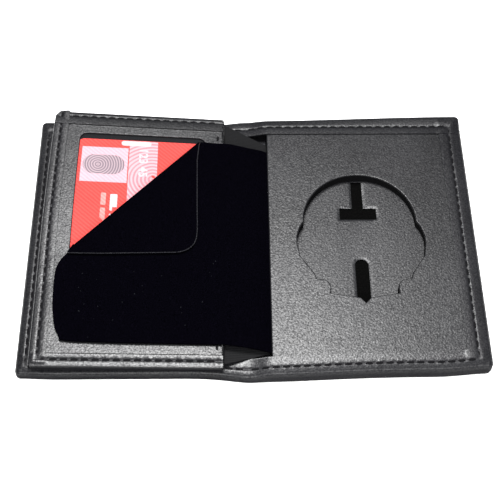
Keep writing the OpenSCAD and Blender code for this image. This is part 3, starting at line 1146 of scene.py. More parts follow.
    def wall_point(self, outline: Vector, heading: Vector, inset: float, share: float) -> Vector:
        """A point of the wall below the shoulder."""
        rise = self.level_of_rim(outline) - self.side.shoulder - self.floor
        out = abs(heading.y) * self.push(outline.x) * smooth(share * 2)
        return outline + heading * (inset - out) + Vector((0, 0, rise * share))

    def level_of_rim(self, outline: Vector) -> float:
        """The height of the rim above a point of the outline."""
        edge, inner, _ = self.end_at(outline.y)
        return mix(edge.rim, inner.rim, self.inner_share(outline.x))

    def rim_point(self, outline: Vector, heading: Vector, inset: float) -> Vector:
        """A point of the rounded shoulder."""
        r = self.side.shoulder
        rise = math.sqrt(max(0.0, r**2 - (r - inset) ** 2))
        out = abs(heading.y) * self.push(outline.x) * (1 - inset / r)
        flat = outline + heading * (inset - out)
        return Vector((flat.x, flat.y, self.level_of_rim(outline) - r + rise))

    def side_point(self, rim: Vector, inset: float) -> Vector:
        """A point of the side hem."""
        return Vector((inset, rim.y, self.height(inset, rim.y)))

    def end_point(self, rim: Vector, inset: float) -> Vector:
        """A point of an end hem."""
        near_front = rim.y < (self.front + self.far) / 2
        y = self.front + inset if near_front else self.far - inset
        return Vector((rim.x, y, self.height(rim.x, y) + self.lap_at(rim.x, inset)))


# Cover


@dataclass
class Cover:
    """The cover: two panels and the spine between them, under one hide.

    A side has the distances of its seam and its raw edge from the outer side. Drops say how far the rim,
    the seam and the raw edge lie below a panel's top, and the spine's edges have the heights of the same.
    """

    finishes: Finishes
    hide_t: float = 0.6
    fold_reach: float = 3
    spine_bulge: float = 0.4
    front_seam: float = 3.0
    far_seam: float = 4.3
    front_hem: float = 7.0
    far_hem: float = 7.9
    back_side: tuple[float, float] = (3.6, 8.6)
    badge_side: tuple[float, float] = (5.3, 9.4)
    back_drops: tuple[float, float, float] = (0.65, 0.35, 0.12)
    badge_drops: tuple[float, float, float] = (0.75, 0.32, 0.12)
    front_spine: tuple[float, float, float] = (5.1, 5.3, 5.6)
    far_spine: tuple[float, float, float] = (5.4, 5.6, 5.9)
    fold_columns: int = 22
    stitching: Stitching = field(default_factory=Stitching)

    def __post_init__(self) -> None:
        """Takes the cover's places from the frame."""
        self.back_low, self.back_high = box_mm("cover_back_leather")
        self.badge_low, self.badge_high = box_mm("cover_front_leather")
        self.fold_back = joint_point("spine_fold")
        self.fold_badge = joint_point("badge_panel_fold")
        self.middle_x = (self.fold_back.x + self.fold_badge.x) / 2

    def front_reach(self, x: float) -> float:
        """How far the soft front edge stands out past the frame's straight one.

        Args:
            x: the place across the open wallet.

        Returns:
            The distance, most beside the spine and least at the outer corners.
        """
        left = 0.9 + 0.5 * smooth((x - self.back_low.x) / 15)
        right = 0.2 + 1.2 * smooth((self.badge_high.x - x) / 20)
        bow = 1.7 * math.exp(-((x / (9.0 if x < 0 else 24.0)) ** 2) / 2)
        return min(left, right) + bow

    def far_reach(self, x: float) -> float:
        """How far the strip outside the far seam stands out past the frame's straight edge.

        Args:
            x: the place across the open wallet.

        Returns:
            The distance, most at the outer corners.
        """
        if x < 0:
            return 0.2 + 0.9 * smooth((-x - 40) / 45)
        return 0.2 + 1.5 * smooth(x / self.badge_high.x)

    def bow(self, bm: bmesh.types.BMesh) -> None:
        """Bows the front of a mesh that lies in the cover.

        Args:
            bm: the mesh, in its place.
        """
        start = self.back_low.y + 20
        for vert in bm.verts:
            vert.co.y -= self.front_reach(vert.co.x) * smooth((start - vert.co.y) / 9)
            out = self.far_reach(vert.co.x) * smooth((vert.co.y - self.back_high.y + self.far_seam) / 3)
            vert.co.y += out
            vert.co.z += 0.4 * out * smooth(vert.co.z / 4)

    def bow_layer(self, bm: bmesh.types.BMesh) -> None:
        """Cuts a flat layer near the front into columns and bows it there.

        Args:
            bm: the layer, in its place.
        """
        front = self.back_low.y
        cut_rows(bm, ACROSS, self.back_low.x, self.badge_high.x, 8)
        cut_rows(bm, ALONG, front + 8, front + 24, 4)
        self.bow(bm)

    def half(
        self, name: str, low: Vector, high: Vector, fold: Vector,
        side: tuple[float, float], drops: Sequence[float],
    ) -> WrappedHide:
        """One half of the cover's hide, up to the middle of the spine.

        Args:
            name: the half's name.
            low: its panel's lowest corner.
            high: its panel's highest corner.
            fold: a point on its fold line.
            side: the distances of the side's seam and raw edge from the outer side.
            drops: how far the rim, the seam and the raw edge lie below the panel's top.

        Returns:
            The hide's sizes.
        """
        outer = low.x if fold.x < self.middle_x else high.x
        at_fold = abs(fold.x - outer)
        heights = [high.z - drop for drop in drops]
        return WrappedHide(
            name=name, width=abs(self.middle_x - outer), front=low.y, far=high.y, floor=low.z,
            side=TurnedEdge(*heights, *side),
            front_edge=TurnedEdge(*heights, self.front_seam, self.front_hem),
            far_edge=TurnedEdge(*heights, self.far_seam, self.far_hem),
            front_inner=TurnedEdge(*self.front_spine, self.front_seam, self.front_hem),
            far_inner=TurnedEdge(*self.far_spine, self.far_seam, self.far_hem),
            turn_from=at_fold - 1, turn_to=abs(self.middle_x - outer),
            bulge=self.spine_bulge, fold_columns=self.fold_columns,
        )

    def hides(self) -> tuple[WrappedHide, WrappedHide]:
        """The two halves of the hide."""
        back = self.half(
            "cover_hide_back", self.back_low, self.back_high, self.fold_back,
            self.back_side, self.back_drops,
        )
        badge = self.half(
            "cover_hide_badge", self.badge_low, self.badge_high, self.fold_badge,
            self.badge_side, self.badge_drops,
        )
        return back, badge

    def build(self) -> None:
        """Makes the hide's two halves and their sewing."""
        back, badge = self.hides()
        for hide, nodes in (
            (back, ("cover_back_leather", "spine_leather")),
            (badge, ("cover_front_leather", "spine_leather")),
        ):
            is_back = hide is back
            bm = hide.build()
            self.to_place(bm, is_back)
            piece = make_piece(hide.name, bm, self.finishes.cover, sharp=70)
            thicken(piece, self.hide_t)
            settle(piece, Slot.COVER, *nodes)
            self.let_fold(piece, is_back)
        self.sew(back, True, "back_seam_thread")
        self.sew(badge, False, "front_seam_thread")

    def to_place(self, bm: bmesh.types.BMesh, is_back: bool) -> None:
        """Moves a half from its own drawing to the cover.

        Args:
            bm: the half's mesh.
            is_back: whether it is the back panel's half.
        """
        if is_back:
            bmesh.ops.translate(bm, verts=bm.verts, vec=(self.back_low.x, 0, 0))
        else:
            bmesh.ops.scale(bm, verts=bm.verts, vec=(-1, 1, 1))
            bmesh.ops.reverse_faces(bm, faces=bm.faces)
            bmesh.ops.translate(bm, verts=bm.verts, vec=(self.badge_high.x, 0, 0))
        self.bow(bm)

    def let_fold(self, piece: bpy.types.Object, is_back: bool) -> None:
        """Bakes a piece's place into its mesh, the same for either half.

        Args:
            piece: the piece.
            is_back: whether it belongs to the back panel's half.
        """
        if is_back:
            bend_between(piece)
        else:
            bend_between(piece)

    def sew(self, hide: WrappedHide, is_back: bool, node: str) -> None:
        """Makes the sewing of one half.

        Args:
            hide: the half.
            is_back: whether it is the back panel's half.
            node: the thread's node.
        """
        bm = bmesh.new()
        seam = hide.side.seam_at
        low, high = hide.side_seam()
        start, stop = hide.end_seam()

        def on_side(point: Vector) -> float:
            """The height under the side's stitches."""
            return hide.level(point.x, point.y) - hide.side.groove

        def on_end(point: Vector) -> float:
            """The height under an end's stitches."""
            edge, _, inset = hide.end_at(point.y)
            return hide.level(point.x, point.y) + hide.lap_at(point.x, inset) - edge.groove

        self.stitching.sew(bm, Vector((seam, low, 0)), Vector((seam, high, 0)), on_side)
        for y in (low, high):
            self.stitching.sew(bm, Vector((start, y, 0)), Vector((stop, y, 0)), on_end)
        self.to_place(bm, is_back)
        piece = make_piece(node + "_sewn", bm, self.finishes.thread)
        settle(piece, Slot.THREAD, node, "spine_seam_thread")
        self.let_fold(piece, is_back)


# Badge panel


@dataclass
class BadgePanel:
    """The stack inside the badge panel, from its board up to the face with the cut-out."""

    finishes: Finishes
    cover: Cover
    cut_round: float = 0.5
    lip_out: float = 0.8
    lip_in: float = 0.5
    lip_drop: float = 0.42
    slot_round: float = 0.12

    def floor(self) -> None:
        """Makes the hide of the recess's floor, pressed down round its slots."""
        node = "recess_floor_leather"
        bm = copy_of_node(node)
        low, high = box_mm(node)
        top = [f for f in bm.faces if f.normal.z > 0.9]
        bmesh.ops.inset_region(bm, faces=top, thickness=self.lip_out, use_even_offset=True)
        moves = {}
        for vert in bm.verts:
            inside = low.x + 6 < vert.co.x < high.x - 6 and low.y + 6 < vert.co.y < high.y - 6
            walls = {tuple(round(c, 1) for c in f.normal) for f in vert.link_faces if abs(f.normal.z) < 0.1}
            if inside and walls:
                out = sum((Vector(w) for w in walls), Vector())
                out *= self.lip_in * len(walls) / max(1.0, out.length_squared)
                drop = self.lip_drop if vert.co.z > high.z - 0.05 else 0
                moves[vert] = out - Vector((0, 0, drop))
        for vert, move in moves.items():
            vert.co += move
        self.cover.bow_layer(bm)
        piece = make_piece(node + "_dressed", bm, self.finishes.floor, sharp=50)
        round_cuts(piece, self.slot_round, 40)
        keep_flats(piece)
        settle(piece, Slot.FACE, node, body=Body.BADGE)

    def build(self) -> None:
        """Makes the panel's layers."""
        made = self.finishes
        bow = self.cover.bow_layer
        rounded_layer("front_board", Body.BADGE, Slot.BOARD, made.board, form=bow)
        rounded_layer("clip_spacer", Body.BADGE, Slot.BOARD, made.board)
        self.floor()
        pad = rounded_layer("badge_pad", Body.BADGE, Slot.PAD, made.foam, form=bow)
        face_top = box_mm("badge_face_leather")[1].z
        rounded_layer(
            "badge_face_leather", Body.BADGE, Slot.FACE, made.face, self.cut_round, 4, bow, face_top - 0.01
        )


# Back panel


@dataclass
class BackPanel:
    """The stack inside the back panel, and the lining of the spine."""

    finishes: Finishes
    cover: Cover
    pocket_round: float = 0.2

    def build(self) -> None:
        """Makes the panel's layers."""
        made = self.finishes
        bow = self.cover.bow_layer
        rounded_layer("cover_back_board", Body.BACK, Slot.BOARD, made.board, form=bow)
        for name, body, under in (
            ("cover_back_lining", Body.BACK, "cover_back_board"),
            ("spine_lining", Body.SPINE, "spine_leather"),
        ):
            lining = rounded_layer(name, body, Slot.LINING, made.lining, form=bow)
        for name in ("card_pocket_rear", "card_pocket_middle", "card_pocket_front"):
            rounded_layer(name, Body.BACK, Slot.LINING_HIDE, made.face, self.pocket_round, form=bow)


# Slope of the wing


@dataclass
class Slope:
    """The slope and the soft lift that the wing and all that lies on it share.

    The wing lifts by rise at the felt's crease and by curl for each millimetre beyond it, and is drawn
    inwards by draw for each square millimetre. A flat layer is cut into cells past cells_from.
    """

    rise: float = 0.3
    curl: float = 0.062
    draw: float = 0.0006
    ease: float = 8
    cell: float = 5
    cells_from: float = -18

    def __post_init__(self) -> None:
        """Takes the slope from the frame's joints."""
        self.hinge = joint_point("wing_flip")
        fold = next(j for j in frame["joints"] if j["name"] == "corner_fold")["axis"]
        self.angle = math.atan2(fold[2], -fold[0])
        there = Matrix.Translation(self.hinge)
        self.matrix = there @ Matrix.Rotation(self.angle, 4, "Y") @ there.inverted()
        self.crease = joint_point("corner_fold")
        self.beyond = Vector((fold[1], -fold[0], 0)).normalized()

    def lay(self, bm: bmesh.types.BMesh) -> None:
        """Moves a mesh that is drawn level with the hinge onto the slope."""
        bmesh.ops.transform(bm, verts=bm.verts, matrix=self.matrix)

    def lift(self, bm: bmesh.types.BMesh) -> None:
        """Lifts what lies beyond the felt's crease, most at the far outer corner.

        Args:
            bm: the mesh, in its place.
        """
        for vert in bm.verts:
            past = (vert.co - self.crease).xy.dot(self.beyond.xy)
            vert.co.z += self.rise * smooth((past + self.ease) / self.ease) + self.curl * max(0.0, past)
            vert.co.x += self.draw * max(0.0, past) ** 2

    def lift_layer(self, bm: bmesh.types.BMesh) -> None:
        """Cuts a flat layer beyond the crease into cells and lifts it."""
        xs = [v.co.x for v in bm.verts]
        ys = [v.co.y for v in bm.verts]
        cut_cells(bm, (min(xs), max(xs)), (max(self.cells_from, min(ys)), max(ys)), self.cell)
        self.lift(bm)

    def level_box(self, node: str) -> tuple[Vector, Vector]:
        """A node's lowest and highest corners, once it is turned level with the hinge.

        Args:
            node: the node's name.

        Returns:
            The two corners, in millimetres.
        """
        back = self.matrix.inverted()
        places = [back @ (v.co / MM) for v in frame["nodes"][node].data.vertices]
        low = Vector(min(p[i] for p in places) for i in range(3))
        high = Vector(max(p[i] for p in places) for i in range(3))
        return low, high


# Identity wing


@dataclass
class Wing:
    """The hinged wing: its hide, board, face with the window, and sewing."""

    finishes: Finishes
    slope: Slope
    hide_t: float = 0.5
    front_reach: float = 0.8
    shoulder: float = 0.8
    seam_side: float = 3.0
    seam_front: float = 2.9
    seam_far: float = 2.4
    hem_side: float = 6.1
    hem_front: float = 5.0
    hem_far: float = 6.4
    hinge_seam: float = 2.1
    cut_round: float = 0.28
    corner_cut: float = 2.4
    card_gap: float = 0.1
    groove: float = 0.2
    groove_w: float = 0.42
    far_start_share: float = 0.08
    stitching: Stitching = field(default_factory=Stitching)

    def __post_init__(self) -> None:
        """Takes the wing's places from the frame."""
        self.low, self.high = self.slope.level_box("wing_back_leather")
        self.face_top = self.slope.level_box("wing_face_leather")[1].z - self.hide_t - 0.1
        self.hide = WrappedHide(
            name="wing_hide", width=self.high.x - self.low.x, front=self.low.y - self.front_reach,
            far=self.high.y, floor=self.low.z, side=self.edge(0.5, 0.35, 0.05, self.seam_side, self.hem_side),
            front_edge=self.edge(0.5, 0.4, 0.1, self.seam_front, self.hem_front),
            foot=0.6, lap=0.3, corner_r=1.1,
        )
        self.far_edge = self.edge(0.55, 0.35, 0.0, self.seam_far, self.hem_far)

    def edge(self, rim: float, seam: float, top: float, seam_at: float, hem: float) -> TurnedEdge:
        """A turned edge of the wing.

        Args:
            rim: how far its rim lies below the wing's top.
            seam: how far its seam does.
            top: how far its raw edge does.
            seam_at: the distance of the seam from the outer side.
            hem: the distance of the raw edge.

        Returns:
            The edge.
        """
        high = self.high.z
        return TurnedEdge(
            high - rim, high - seam, high - top, seam_at, hem, shoulder=self.shoulder,
            groove=self.groove, groove_w=self.groove_w,
        )

    def relax(self, bm: bmesh.types.BMesh) -> None:
        """Gives a mesh of the wing its soft form.

        Args:
            bm: the mesh, in its place.
        """
        for vert in bm.verts:
            inside = vert.co.y > self.low.y - 0.3
            vert.co.y -= self.front_reach * smooth((self.low.y + 10 - vert.co.y) / 4) * inside
            short = (self.corner_cut - (vert.co.x - self.low.x) - (self.high.y - vert.co.y)) / 2
            if short > 0:
                vert.co += Vector((short, -short, 0))
        self.slope.lift(bm)

    def cut(self, bm: bmesh.types.BMesh) -> None:
        """Cuts a mesh of the wing into cells that can follow its lift."""
        slope = self.slope
        cut_cells(bm, (self.low.x, self.high.x), (slope.cells_from, self.high.y), slope.cell)

    def to_place(self, bm: bmesh.types.BMesh, cut: bool = False) -> None:
        """Moves a mesh from the hide's own drawing to the wing and relaxes it.

        Args:
            bm: the mesh.
            cut: whether it is cut into cells first.
        """
        bmesh.ops.translate(bm, verts=bm.verts, vec=(self.low.x, 0, 0))
        if cut:
            self.cut(bm)
        self.slope.lay(bm)
        self.relax(bm)

    def relax_layer(self, bm: bmesh.types.BMesh) -> None:
        """Cuts a flat layer of the wing into cells and relaxes it."""
        self.cut(bm)
        cut_rows(bm, ALONG, self.low.y + 4, self.low.y + 12, 2)
        self.relax(bm)

    def end_face(self, bm: bmesh.types.BMesh) -> None:
        """Ends the face at the raw edge of its far hem, and relaxes it.

        Args:
            bm: the face.
        """
        at = Vector((0, self.high.y - self.hem_far - 0.02, 0))
        bmesh.ops.bisect_plane(
            bm, geom=all_of(bm), dist=1e-4, plane_co=at, plane_no=ALONG, clear_outer=True
        )
        bmesh.ops.holes_fill(bm, edges=[e for e in bm.edges if e.is_boundary], sides=0)
        self.relax_layer(bm)

    def build(self) -> None:
        """Makes the wing's pieces."""
        made = self.finishes
        bm = self.hide.build()
        self.to_place(bm, cut=True)
        hide = make_piece(self.hide.name, bm, made.cover, sharp=70)
        thicken(hide, self.hide_t)
        settle(hide, Slot.COVER, "wing_back_leather", body=Body.WING)
        rounded_layer("wing_board", Body.WING, Slot.BOARD, made.board, form=self.relax_layer)
        rounded_layer("wing_face_leather", Body.WING, Slot.FACE, made.face, self.cut_round, 3, self.end_face)
        rounded_layer("wing_window_film", Body.WING, Slot.FILM, made.film, 0.03, 1, self.slope.lift_layer)
        self.far_hem()
        self.sew()

    def far_height(self, across: float, inset: float) -> float:
        """The height of the far hem.

        Args:
            across: the distance from the wing's outer side.
            inset: the distance from its far edge.

        Returns:
            The height.
        """
        hole = self.stitching.first_hole(self.hem_side, self.hide.width - self.hinge_seam)
        return self.far_edge.height(inset) - self.far_edge.pull(inset, across - hole, self.stitching.pitch)

    def far_hem(self) -> None:
        """Makes the hem of the face hide along the wing's far edge."""
        bm = bmesh.new()
        start = Vector((self.hem_side * self.far_start_share, self.high.y, 0))
        stop = Vector((self.hide.width, self.high.y, 0))
        edge = bm.edges.new((bm.verts.new(start), bm.verts.new(stop)))
        bmesh.ops.subdivide_edges(bm, edges=[edge], cuts=round((stop - start).length / self.hide.step) - 1)
        outline = bm.verts.layers.float_vector.new("outline")
        foot = self.slope.level_box("id_card")[1].z + self.card_gap
        for vert in bm.verts:
            vert[outline] = vert.co
            vert.co.z = foot
        row = bm.edges[:]
        rim = self.far_edge.rim - self.far_edge.shoulder
        for share in (0.35, 0.7, 1.0):
            row = extend_edges(bm, row, lambda v: v[outline] + Vector((0, 0, mix(foot, rim, share))))
        for inset in self.far_edge.rim_insets() + self.far_edge.rows():
            row = extend_edges(bm, row, lambda v: self.far_point(v[outline], inset))
        face_out(bm)
        mark_sunk(bm, self.far_sunk)
        self.to_place(bm)
        hem = make_piece("wing_far_hem", bm, self.finishes.face, sharp=70)
        thicken(hem, self.hide_t)
        settle(hem, Slot.FACE, "wing_face_leather", body=Body.WING)

    def far_sunk(self, point: Vector) -> float:
        """How far a point of the far hem lies out of the light, from 0 to 1."""
        pulled = self.far_edge.height(self.high.y - point.y) - point.z
        return min(1.0, max(0.0, SEAM_PAINTED_SHADE * pulled / self.far_edge.groove))

    def far_point(self, outline: Vector, inset: float) -> Vector:
        """A point of the far hem."""
        return Vector((outline.x, self.high.y - inset, self.far_height(outline.x, inset)))

    def sew(self) -> None:
        """Makes the wing's sewing."""
        bm = bmesh.new()
        hide, seam = self.hide, self.seam_side
        hinge_seam = hide.width - self.hinge_seam
        sunk = hide.side.groove

        def on_hide(point: Vector) -> float:
            """The height under the stitches of the hide's hems."""
            return hide.level(point.x, point.y) - sunk

        def on_far(point: Vector) -> float:
            """The height under the stitches of the far hem."""
            return self.far_edge.seam - sunk

        def on_face(point: Vector) -> float:
            """The height under the stitches along the hinge."""
            return self.face_top - 0.15

        front = hide.front + self.seam_front
        far = self.high.y
        self.stitching.sew(bm, Vector((seam, front, 0)), Vector((seam, far, 0)), on_hide)
        self.stitching.sew(bm, Vector((seam, front, 0)), Vector((hinge_seam, front, 0)), on_hide)
        far_seam = far - self.seam_far
        self.stitching.sew(
            bm, Vector((self.hem_side, far_seam, 0)), Vector((hinge_seam, far_seam, 0)), on_far
        )
        self.stitching.sew(
            bm, Vector((hinge_seam, hide.front + self.hem_front, 0)),
            Vector((hinge_seam, far - self.hem_far, 0)), on_face,
        )
        self.to_place(bm)
        thread = make_piece("wing_seam_thread_sewn", bm, self.finishes.thread)
        settle(thread, Slot.THREAD, "wing_seam_thread", body=Body.WING)


# Card


@dataclass
class Card:
    """The card behind the window, with its plain printed fields.

    A field has its lowest x and y and its highest x and y. The marks of a row start and stop along the card.
    """

    finishes: Finishes
    slope: Slope
    margin: float = 0.3
    band_x: tuple[float, float] = (-48.6, -37.3)
    pale_box: tuple[float, float, float, float] = (-67.5, 21.9, -49.0, 38.2)
    whorl_box: tuple[float, float, float, float] = (-66.8, 25.6, -50.2, 34.6)
    whorl_corner: float = 4.4
    arch_box: tuple[float, float, float, float] = (-52.0, 39.4, -40.0, 41.7)
    arch_corner: float = 1.1
    wide_x: tuple[float, float] = (-55.0, -52.2)
    wide_marks: tuple[tuple[float, float], ...] = ((16.5, 9.0), (7.6, -2.5), (-4.0, -9.5))
    wide_corner: float = 0.4
    thin_x: tuple[float, float] = (-58.6, -56.6)
    thin_marks: tuple[tuple[float, float], ...] = ((17.0, 11.5), (10.2, 4.0), (2.6, -7.0))
    thin_corner: float = 0.3
    ink_t: float = 0.02
    digits: str = "123 45"
    digit_size: float = 4.9
    digit_weight: float = 0.08
    digits_at: tuple[float, float] = (-44.5, 38.5)

    def __post_init__(self) -> None:
        """Takes the card's place from the frame."""
        self.low, self.high = self.slope.level_box("id_card")

    def build(self) -> None:
        """Makes the card and its print."""
        made = self.finishes
        rounded_layer("id_card", Body.CARD, Slot.CARD, made.card, 0.08, 2, self.slope.lift_layer)
        left, right = self.band_x
        band = (left, self.low.y + self.margin, right, self.high.y - self.margin)
        self.field("pink_band", band, made.card_band, 1)
        self.field("pale_field", self.pale_box, made.card_pale, 1)
        self.field("whorl", self.whorl_box, made.card_whorl, 2, self.whorl_corner)
        self.field("pale_arch", self.arch_box, made.card_white, 2, self.arch_corner)
        left, right = self.wide_x
        for i, (start, stop) in enumerate(self.wide_marks):
            self.field(f"wide_mark_{i}", (left, stop, right, start), made.card_white, 1, self.wide_corner)
        left, right = self.thin_x
        for i, (start, stop) in enumerate(self.thin_marks):
            self.field(f"thin_mark_{i}", (left, stop, right, start), made.card_marks, 1, self.thin_corner)
        self.number()

    def settle_print(self, name: str, bm: bmesh.types.BMesh, finish: bpy.types.Material) -> None:
        """Lays a printed field on the card.

        Args:
            name: the field's name.
            bm: its flat mesh, level with the hinge.
            finish: its material.
        """
        self.slope.lay(bm)
        self.slope.lift_layer(bm)
        piece = make_piece("card_" + name, bm, finish)
        thicken(piece, self.ink_t)
        settle(piece, Slot.CARD, body=Body.CARD)

    def field(
        self, name: str, box: tuple[float, float, float, float], finish: bpy.types.Material, layer: int,
        corner: float = 0,
    ) -> None:
        """Prints a field with straight sides.

        Args:
            name: the field's name.
            box: its lowest x and y and its highest x and y.
            finish: its material.
            layer: how many prints lie one on another there.
            corner: the radius of its corners.
        """
        x0, y0, x1, y1 = box
        points = [(x0, y0), (x1, y0), (x1, y1), (x0, y1)]
        self.settle_print(name, flat_outline(points, (corner,) * 4, self.high.z + self.ink_t * layer), finish)

    def number(self) -> None:
        """Prints the plain digits, turned to run along the card."""
        curve = bpy.data.curves.new("digits", "FONT")
        curve.body, curve.size, curve.offset = self.digits, self.digit_size, self.digit_weight
        holder = bpy.data.objects.new("digits", curve)
        bm = bmesh.new()
        bm.from_mesh(holder.to_mesh())
        holder.to_mesh_clear()
        bpy.data.objects.remove(holder)
        bpy.data.curves.remove(curve)
        place = Matrix.Translation((*self.digits_at, self.high.z + 2 * self.ink_t))
        turned = place @ Matrix.Rotation(-math.pi / 2, 4, "Z")
        bmesh.ops.transform(bm, verts=bm.verts, matrix=turned)
        self.settle_print("digits", bm, self.finishes.card_white)


# Felt divider


@dataclass
class Divider:
    """The felt divider: its root in the gutter, its leaf and its folded corner.

    The rims are what the leaf's and the corner's outlines have beyond the crease and the hinge, and each
    radius rounds one point of a whole outline. The root's path has distances from the hinge and heights.
    """

    finishes: Finishes
    slope: Slope
    row: float = 2.2
    ripple: float = 0.22
    cut_round: float = 0.12
    roll_r: float = 0.55
    roll_in: float = 0.9
    lint_count: int = 26
    # The width of the painted highlight strip along the corner's cut edge, and how near the crease it stops
    cut_edge: float = 0.34
    crease_clear: float = 2.5
    near_y: float = -48.4
    far_y: float = 40.9
    leaf_flat: tuple[float, float] = (62.0, 90.6)
    corner_flat: tuple[float, float] = (48.9, 53.4)
    root_flat: tuple[float, float] = (18.1, 91.0)
    leaf_rim: tuple[tuple[float, float], ...] = (
        (-69.9, -12.3), (-72.4, -15.6), (-73.3, -20.3), (-73.3, -27.5), (-72.9, -35.4), (-71.5, -43.0),
        (-70.1, -45.2), (-69.6, -47.3), (-64.8, -47.9), (-47.5, -48.3),
    )
    leaf_radii: tuple[float, ...] = (0, 0, 0, 0, 0, 0, 1.5, 2, 2, 3, 3, 1.5, 0.8, 0.5, 2, 0, 0)
    corner_rim: tuple[tuple[float, float], ...] = (
        (-69.6, -12.3), (-57.1, -12.3), (-38.6, -11.6), (-27.5, -11.2), (-23.8, -9.6), (-21.4, -6.4),
        (-20.9, -1.1), (-21.2, 12.6), (-21.4, 31.7),
    )
    corner_radii: tuple[float, ...] = (0, 0, 0, 1.0, 0, 0, 2, 2, 2, 2, 0, 0)
    roll_steps: int = 8
    root_path: tuple[tuple[float, float], ...] = (
        (0.0, 10.15), (3.4, 10.0), (8.3, 9.3), (12.3, 8.3), (15.3, 7.2), (17.4, 6.1),
    )
    root_cells: tuple[int, int] = (14, 40)
    bead_sides: int = 14
    lint_seed: int = 11
    lint_x: tuple[float, float] = (-68, -14)
    lint_y: tuple[float, float] = (-47, -14)
    lint_size: tuple[float, float] = (0.1, 0.2)
    lint_form: tuple[float, float, float] = (1.6, 0.6, 0.35)

    def __post_init__(self) -> None:
        """Takes the divider's places from the frame."""
        self.leaf_low, self.leaf_high = self.slope.level_box("felt_flap")
        self.corner_low, self.corner_high = self.slope.level_box("felt_corner")
        self.felt_t = self.leaf_high.z - self.leaf_low.z
        self.leaf_z = (self.leaf_low.z + self.leaf_high.z) / 2
        self.corner_z = (self.corner_low.z + self.corner_high.z) / 2
        shift = self.roll_in * math.sqrt(0.5)
        self.crease_far = Vector((self.corner_high.x - 0.9 + shift, self.corner_high.y + 0.2 - shift, 0))
        self.crease_near = Vector((-66.9 + shift, -7.9 - shift, 0))
        self.crease_end = self.crease_near + Vector((-1.1, 0.2, 0))

    def build(self) -> None:
        """Makes the stretches of felt."""
        roll = self.roll()
        self.leaf([roll, self.lint()])
        self.corner()
        self.root()

    def uneven(self, bm: bmesh.types.BMesh, keep: Callable[[Vector], float]) -> None:
        """Lifts and lowers a felt sheet a little, more where keep allows it.

        Args:
            bm: the sheet.
            keep: the share of the ripple at a point.
        """
        for vert in bm.verts:
            vert.co.z += swell(vert.co, 16, self.ripple) * keep(vert.co)

    def stretch(
        self, name: str, bm: bmesh.types.BMesh, node: str, round_r: float = 0, body: Body | None = None
    ) -> bpy.types.Object:
        """Makes one stretch of felt out of its middle surface.

        Args:
            name: the stretch's name.
            bm: its middle surface, in its place.
            node: the node that it stands for.
            round_r: the width of the rounding at its cut edges.
            body: the body that it rides on, or None to leave it on no body.

        Returns:
            The new piece.
        """
        piece = make_piece(name, bm, self.finishes.felt)
        thicken(piece, self.felt_t, 0, round_r)
        settle(piece, Slot.FELT, node, body=body)
        return piece

    def rows(self, bm: bmesh.types.BMesh) -> None:
        """Cuts a flat stretch of felt into cells."""
        low, high = self.leaf_low, self.leaf_high
        cut_cells(bm, (low.x, high.x), (low.y, high.y), self.row)

    def leaf(self, with_pieces: Sequence[bpy.types.Object]) -> None:
        """Makes the leaf that lies on the wing.

        Args:
            with_pieces: not used.
        """
        hinge = self.slope.hinge.x
        far, near, end = self.crease_far, self.crease_near, self.crease_end
        points = [
            (hinge, self.near_y), (hinge, self.far_y), (far.x + 0.4, far.y + 1.2), (far.x, far.y),
            (near.x, near.y), (end.x, end.y), *self.leaf_rim, (-14.9, self.near_y),
        ]
        bm = flat_outline(points, self.leaf_radii, self.leaf_z, 4)
        self.rows(bm)
        edge = self.slope.crease
        out = self.slope.beyond
        self.uneven(
            bm, lambda p: smooth((hinge - p.x) / 12) * smooth(-(p - edge).xy.dot(out.xy) / 12)
        )
        self.slope.lay(bm)
        area = area_of(bm)
        piece = self.stretch("felt_leaf", bm, "felt_flap", self.cut_round, Body.FLAP)

    def corner(self) -> None:
        """Makes the folded corner, with a painted highlight strip along its cut edge."""
        far, near, end = self.crease_far, self.crease_near, self.crease_end
        points = [(far.x, far.y), (near.x, near.y), (end.x, end.y), *self.corner_rim]
        bm = flat_outline(points, self.corner_radii, self.corner_z, 4)
        self.rows(bm)
        self.slope.lay(bm)
        area = area_of(bm)
        piece = self.stretch("felt_corner_folded", bm, "felt_corner", self.cut_round, Body.CORNER)
        # A thin lighter strip on top of the corner, just inside its cut edge and clear of the crease: painted
        # highlight where the edge catches the light
        bm = flat_outline(points, self.corner_radii, self.corner_high.z + 0.01, 4)
        rim = bmesh.ops.inset_region(
            bm, faces=bm.faces[:], thickness=self.cut_edge, use_boundary=True, use_even_offset=True
        )["faces"]
        away = [abs((f.calc_center_median() - far).xy.dot(self.slope.beyond.xy)) for f in bm.faces]
        inner = [f for f, a in zip(bm.faces, away) if f not in rim or a < self.crease_clear]
        bmesh.ops.delete(bm, geom=inner, context="FACES")
        self.slope.lay(bm)
        highlight_strip = make_piece("felt_cut_edge_highlight", bm, self.finishes.felt_edge_highlight)
        thicken(highlight_strip, 0.04, 0)
        settle(highlight_strip, Slot.FELT, body=Body.CORNER)

    def roll(self) -> bpy.types.Object:
        """Makes the bend between the leaf and its folded corner.

        Returns:
            The new piece.
        """
        middle = (self.leaf_z + self.corner_z) / 2
        bm = bmesh.new()
        ends = [bm.verts.new(Vector((p.x, p.y, self.leaf_z))) for p in (self.crease_far, self.crease_near)]
        edge = bm.edges.new(ends)
        bmesh.ops.subdivide_edges(bm, edges=[edge], cuts=round(edge.calc_length() / self.row))
        foot = bm.verts.layers.float_vector.new("foot")
        for vert in bm.verts:
            vert[foot] = vert.co
        row = bm.edges[:]
        for i in range(1, self.roll_steps + 1):
            turn = math.pi * (i / self.roll_steps - 0.5)
            out = self.slope.beyond * math.cos(turn) * self.roll_r
            up = middle + math.sin(turn) * self.roll_r - self.leaf_z
            row = extend_edges(bm, row, lambda v: v[foot] + out + Vector((0, 0, up)))
        bmesh.ops.recalc_face_normals(bm, faces=bm.faces)
        self.slope.lay(bm)
        piece = self.stretch("felt_crease", bm, "felt_corner")
        bend_between(piece)
        return piece

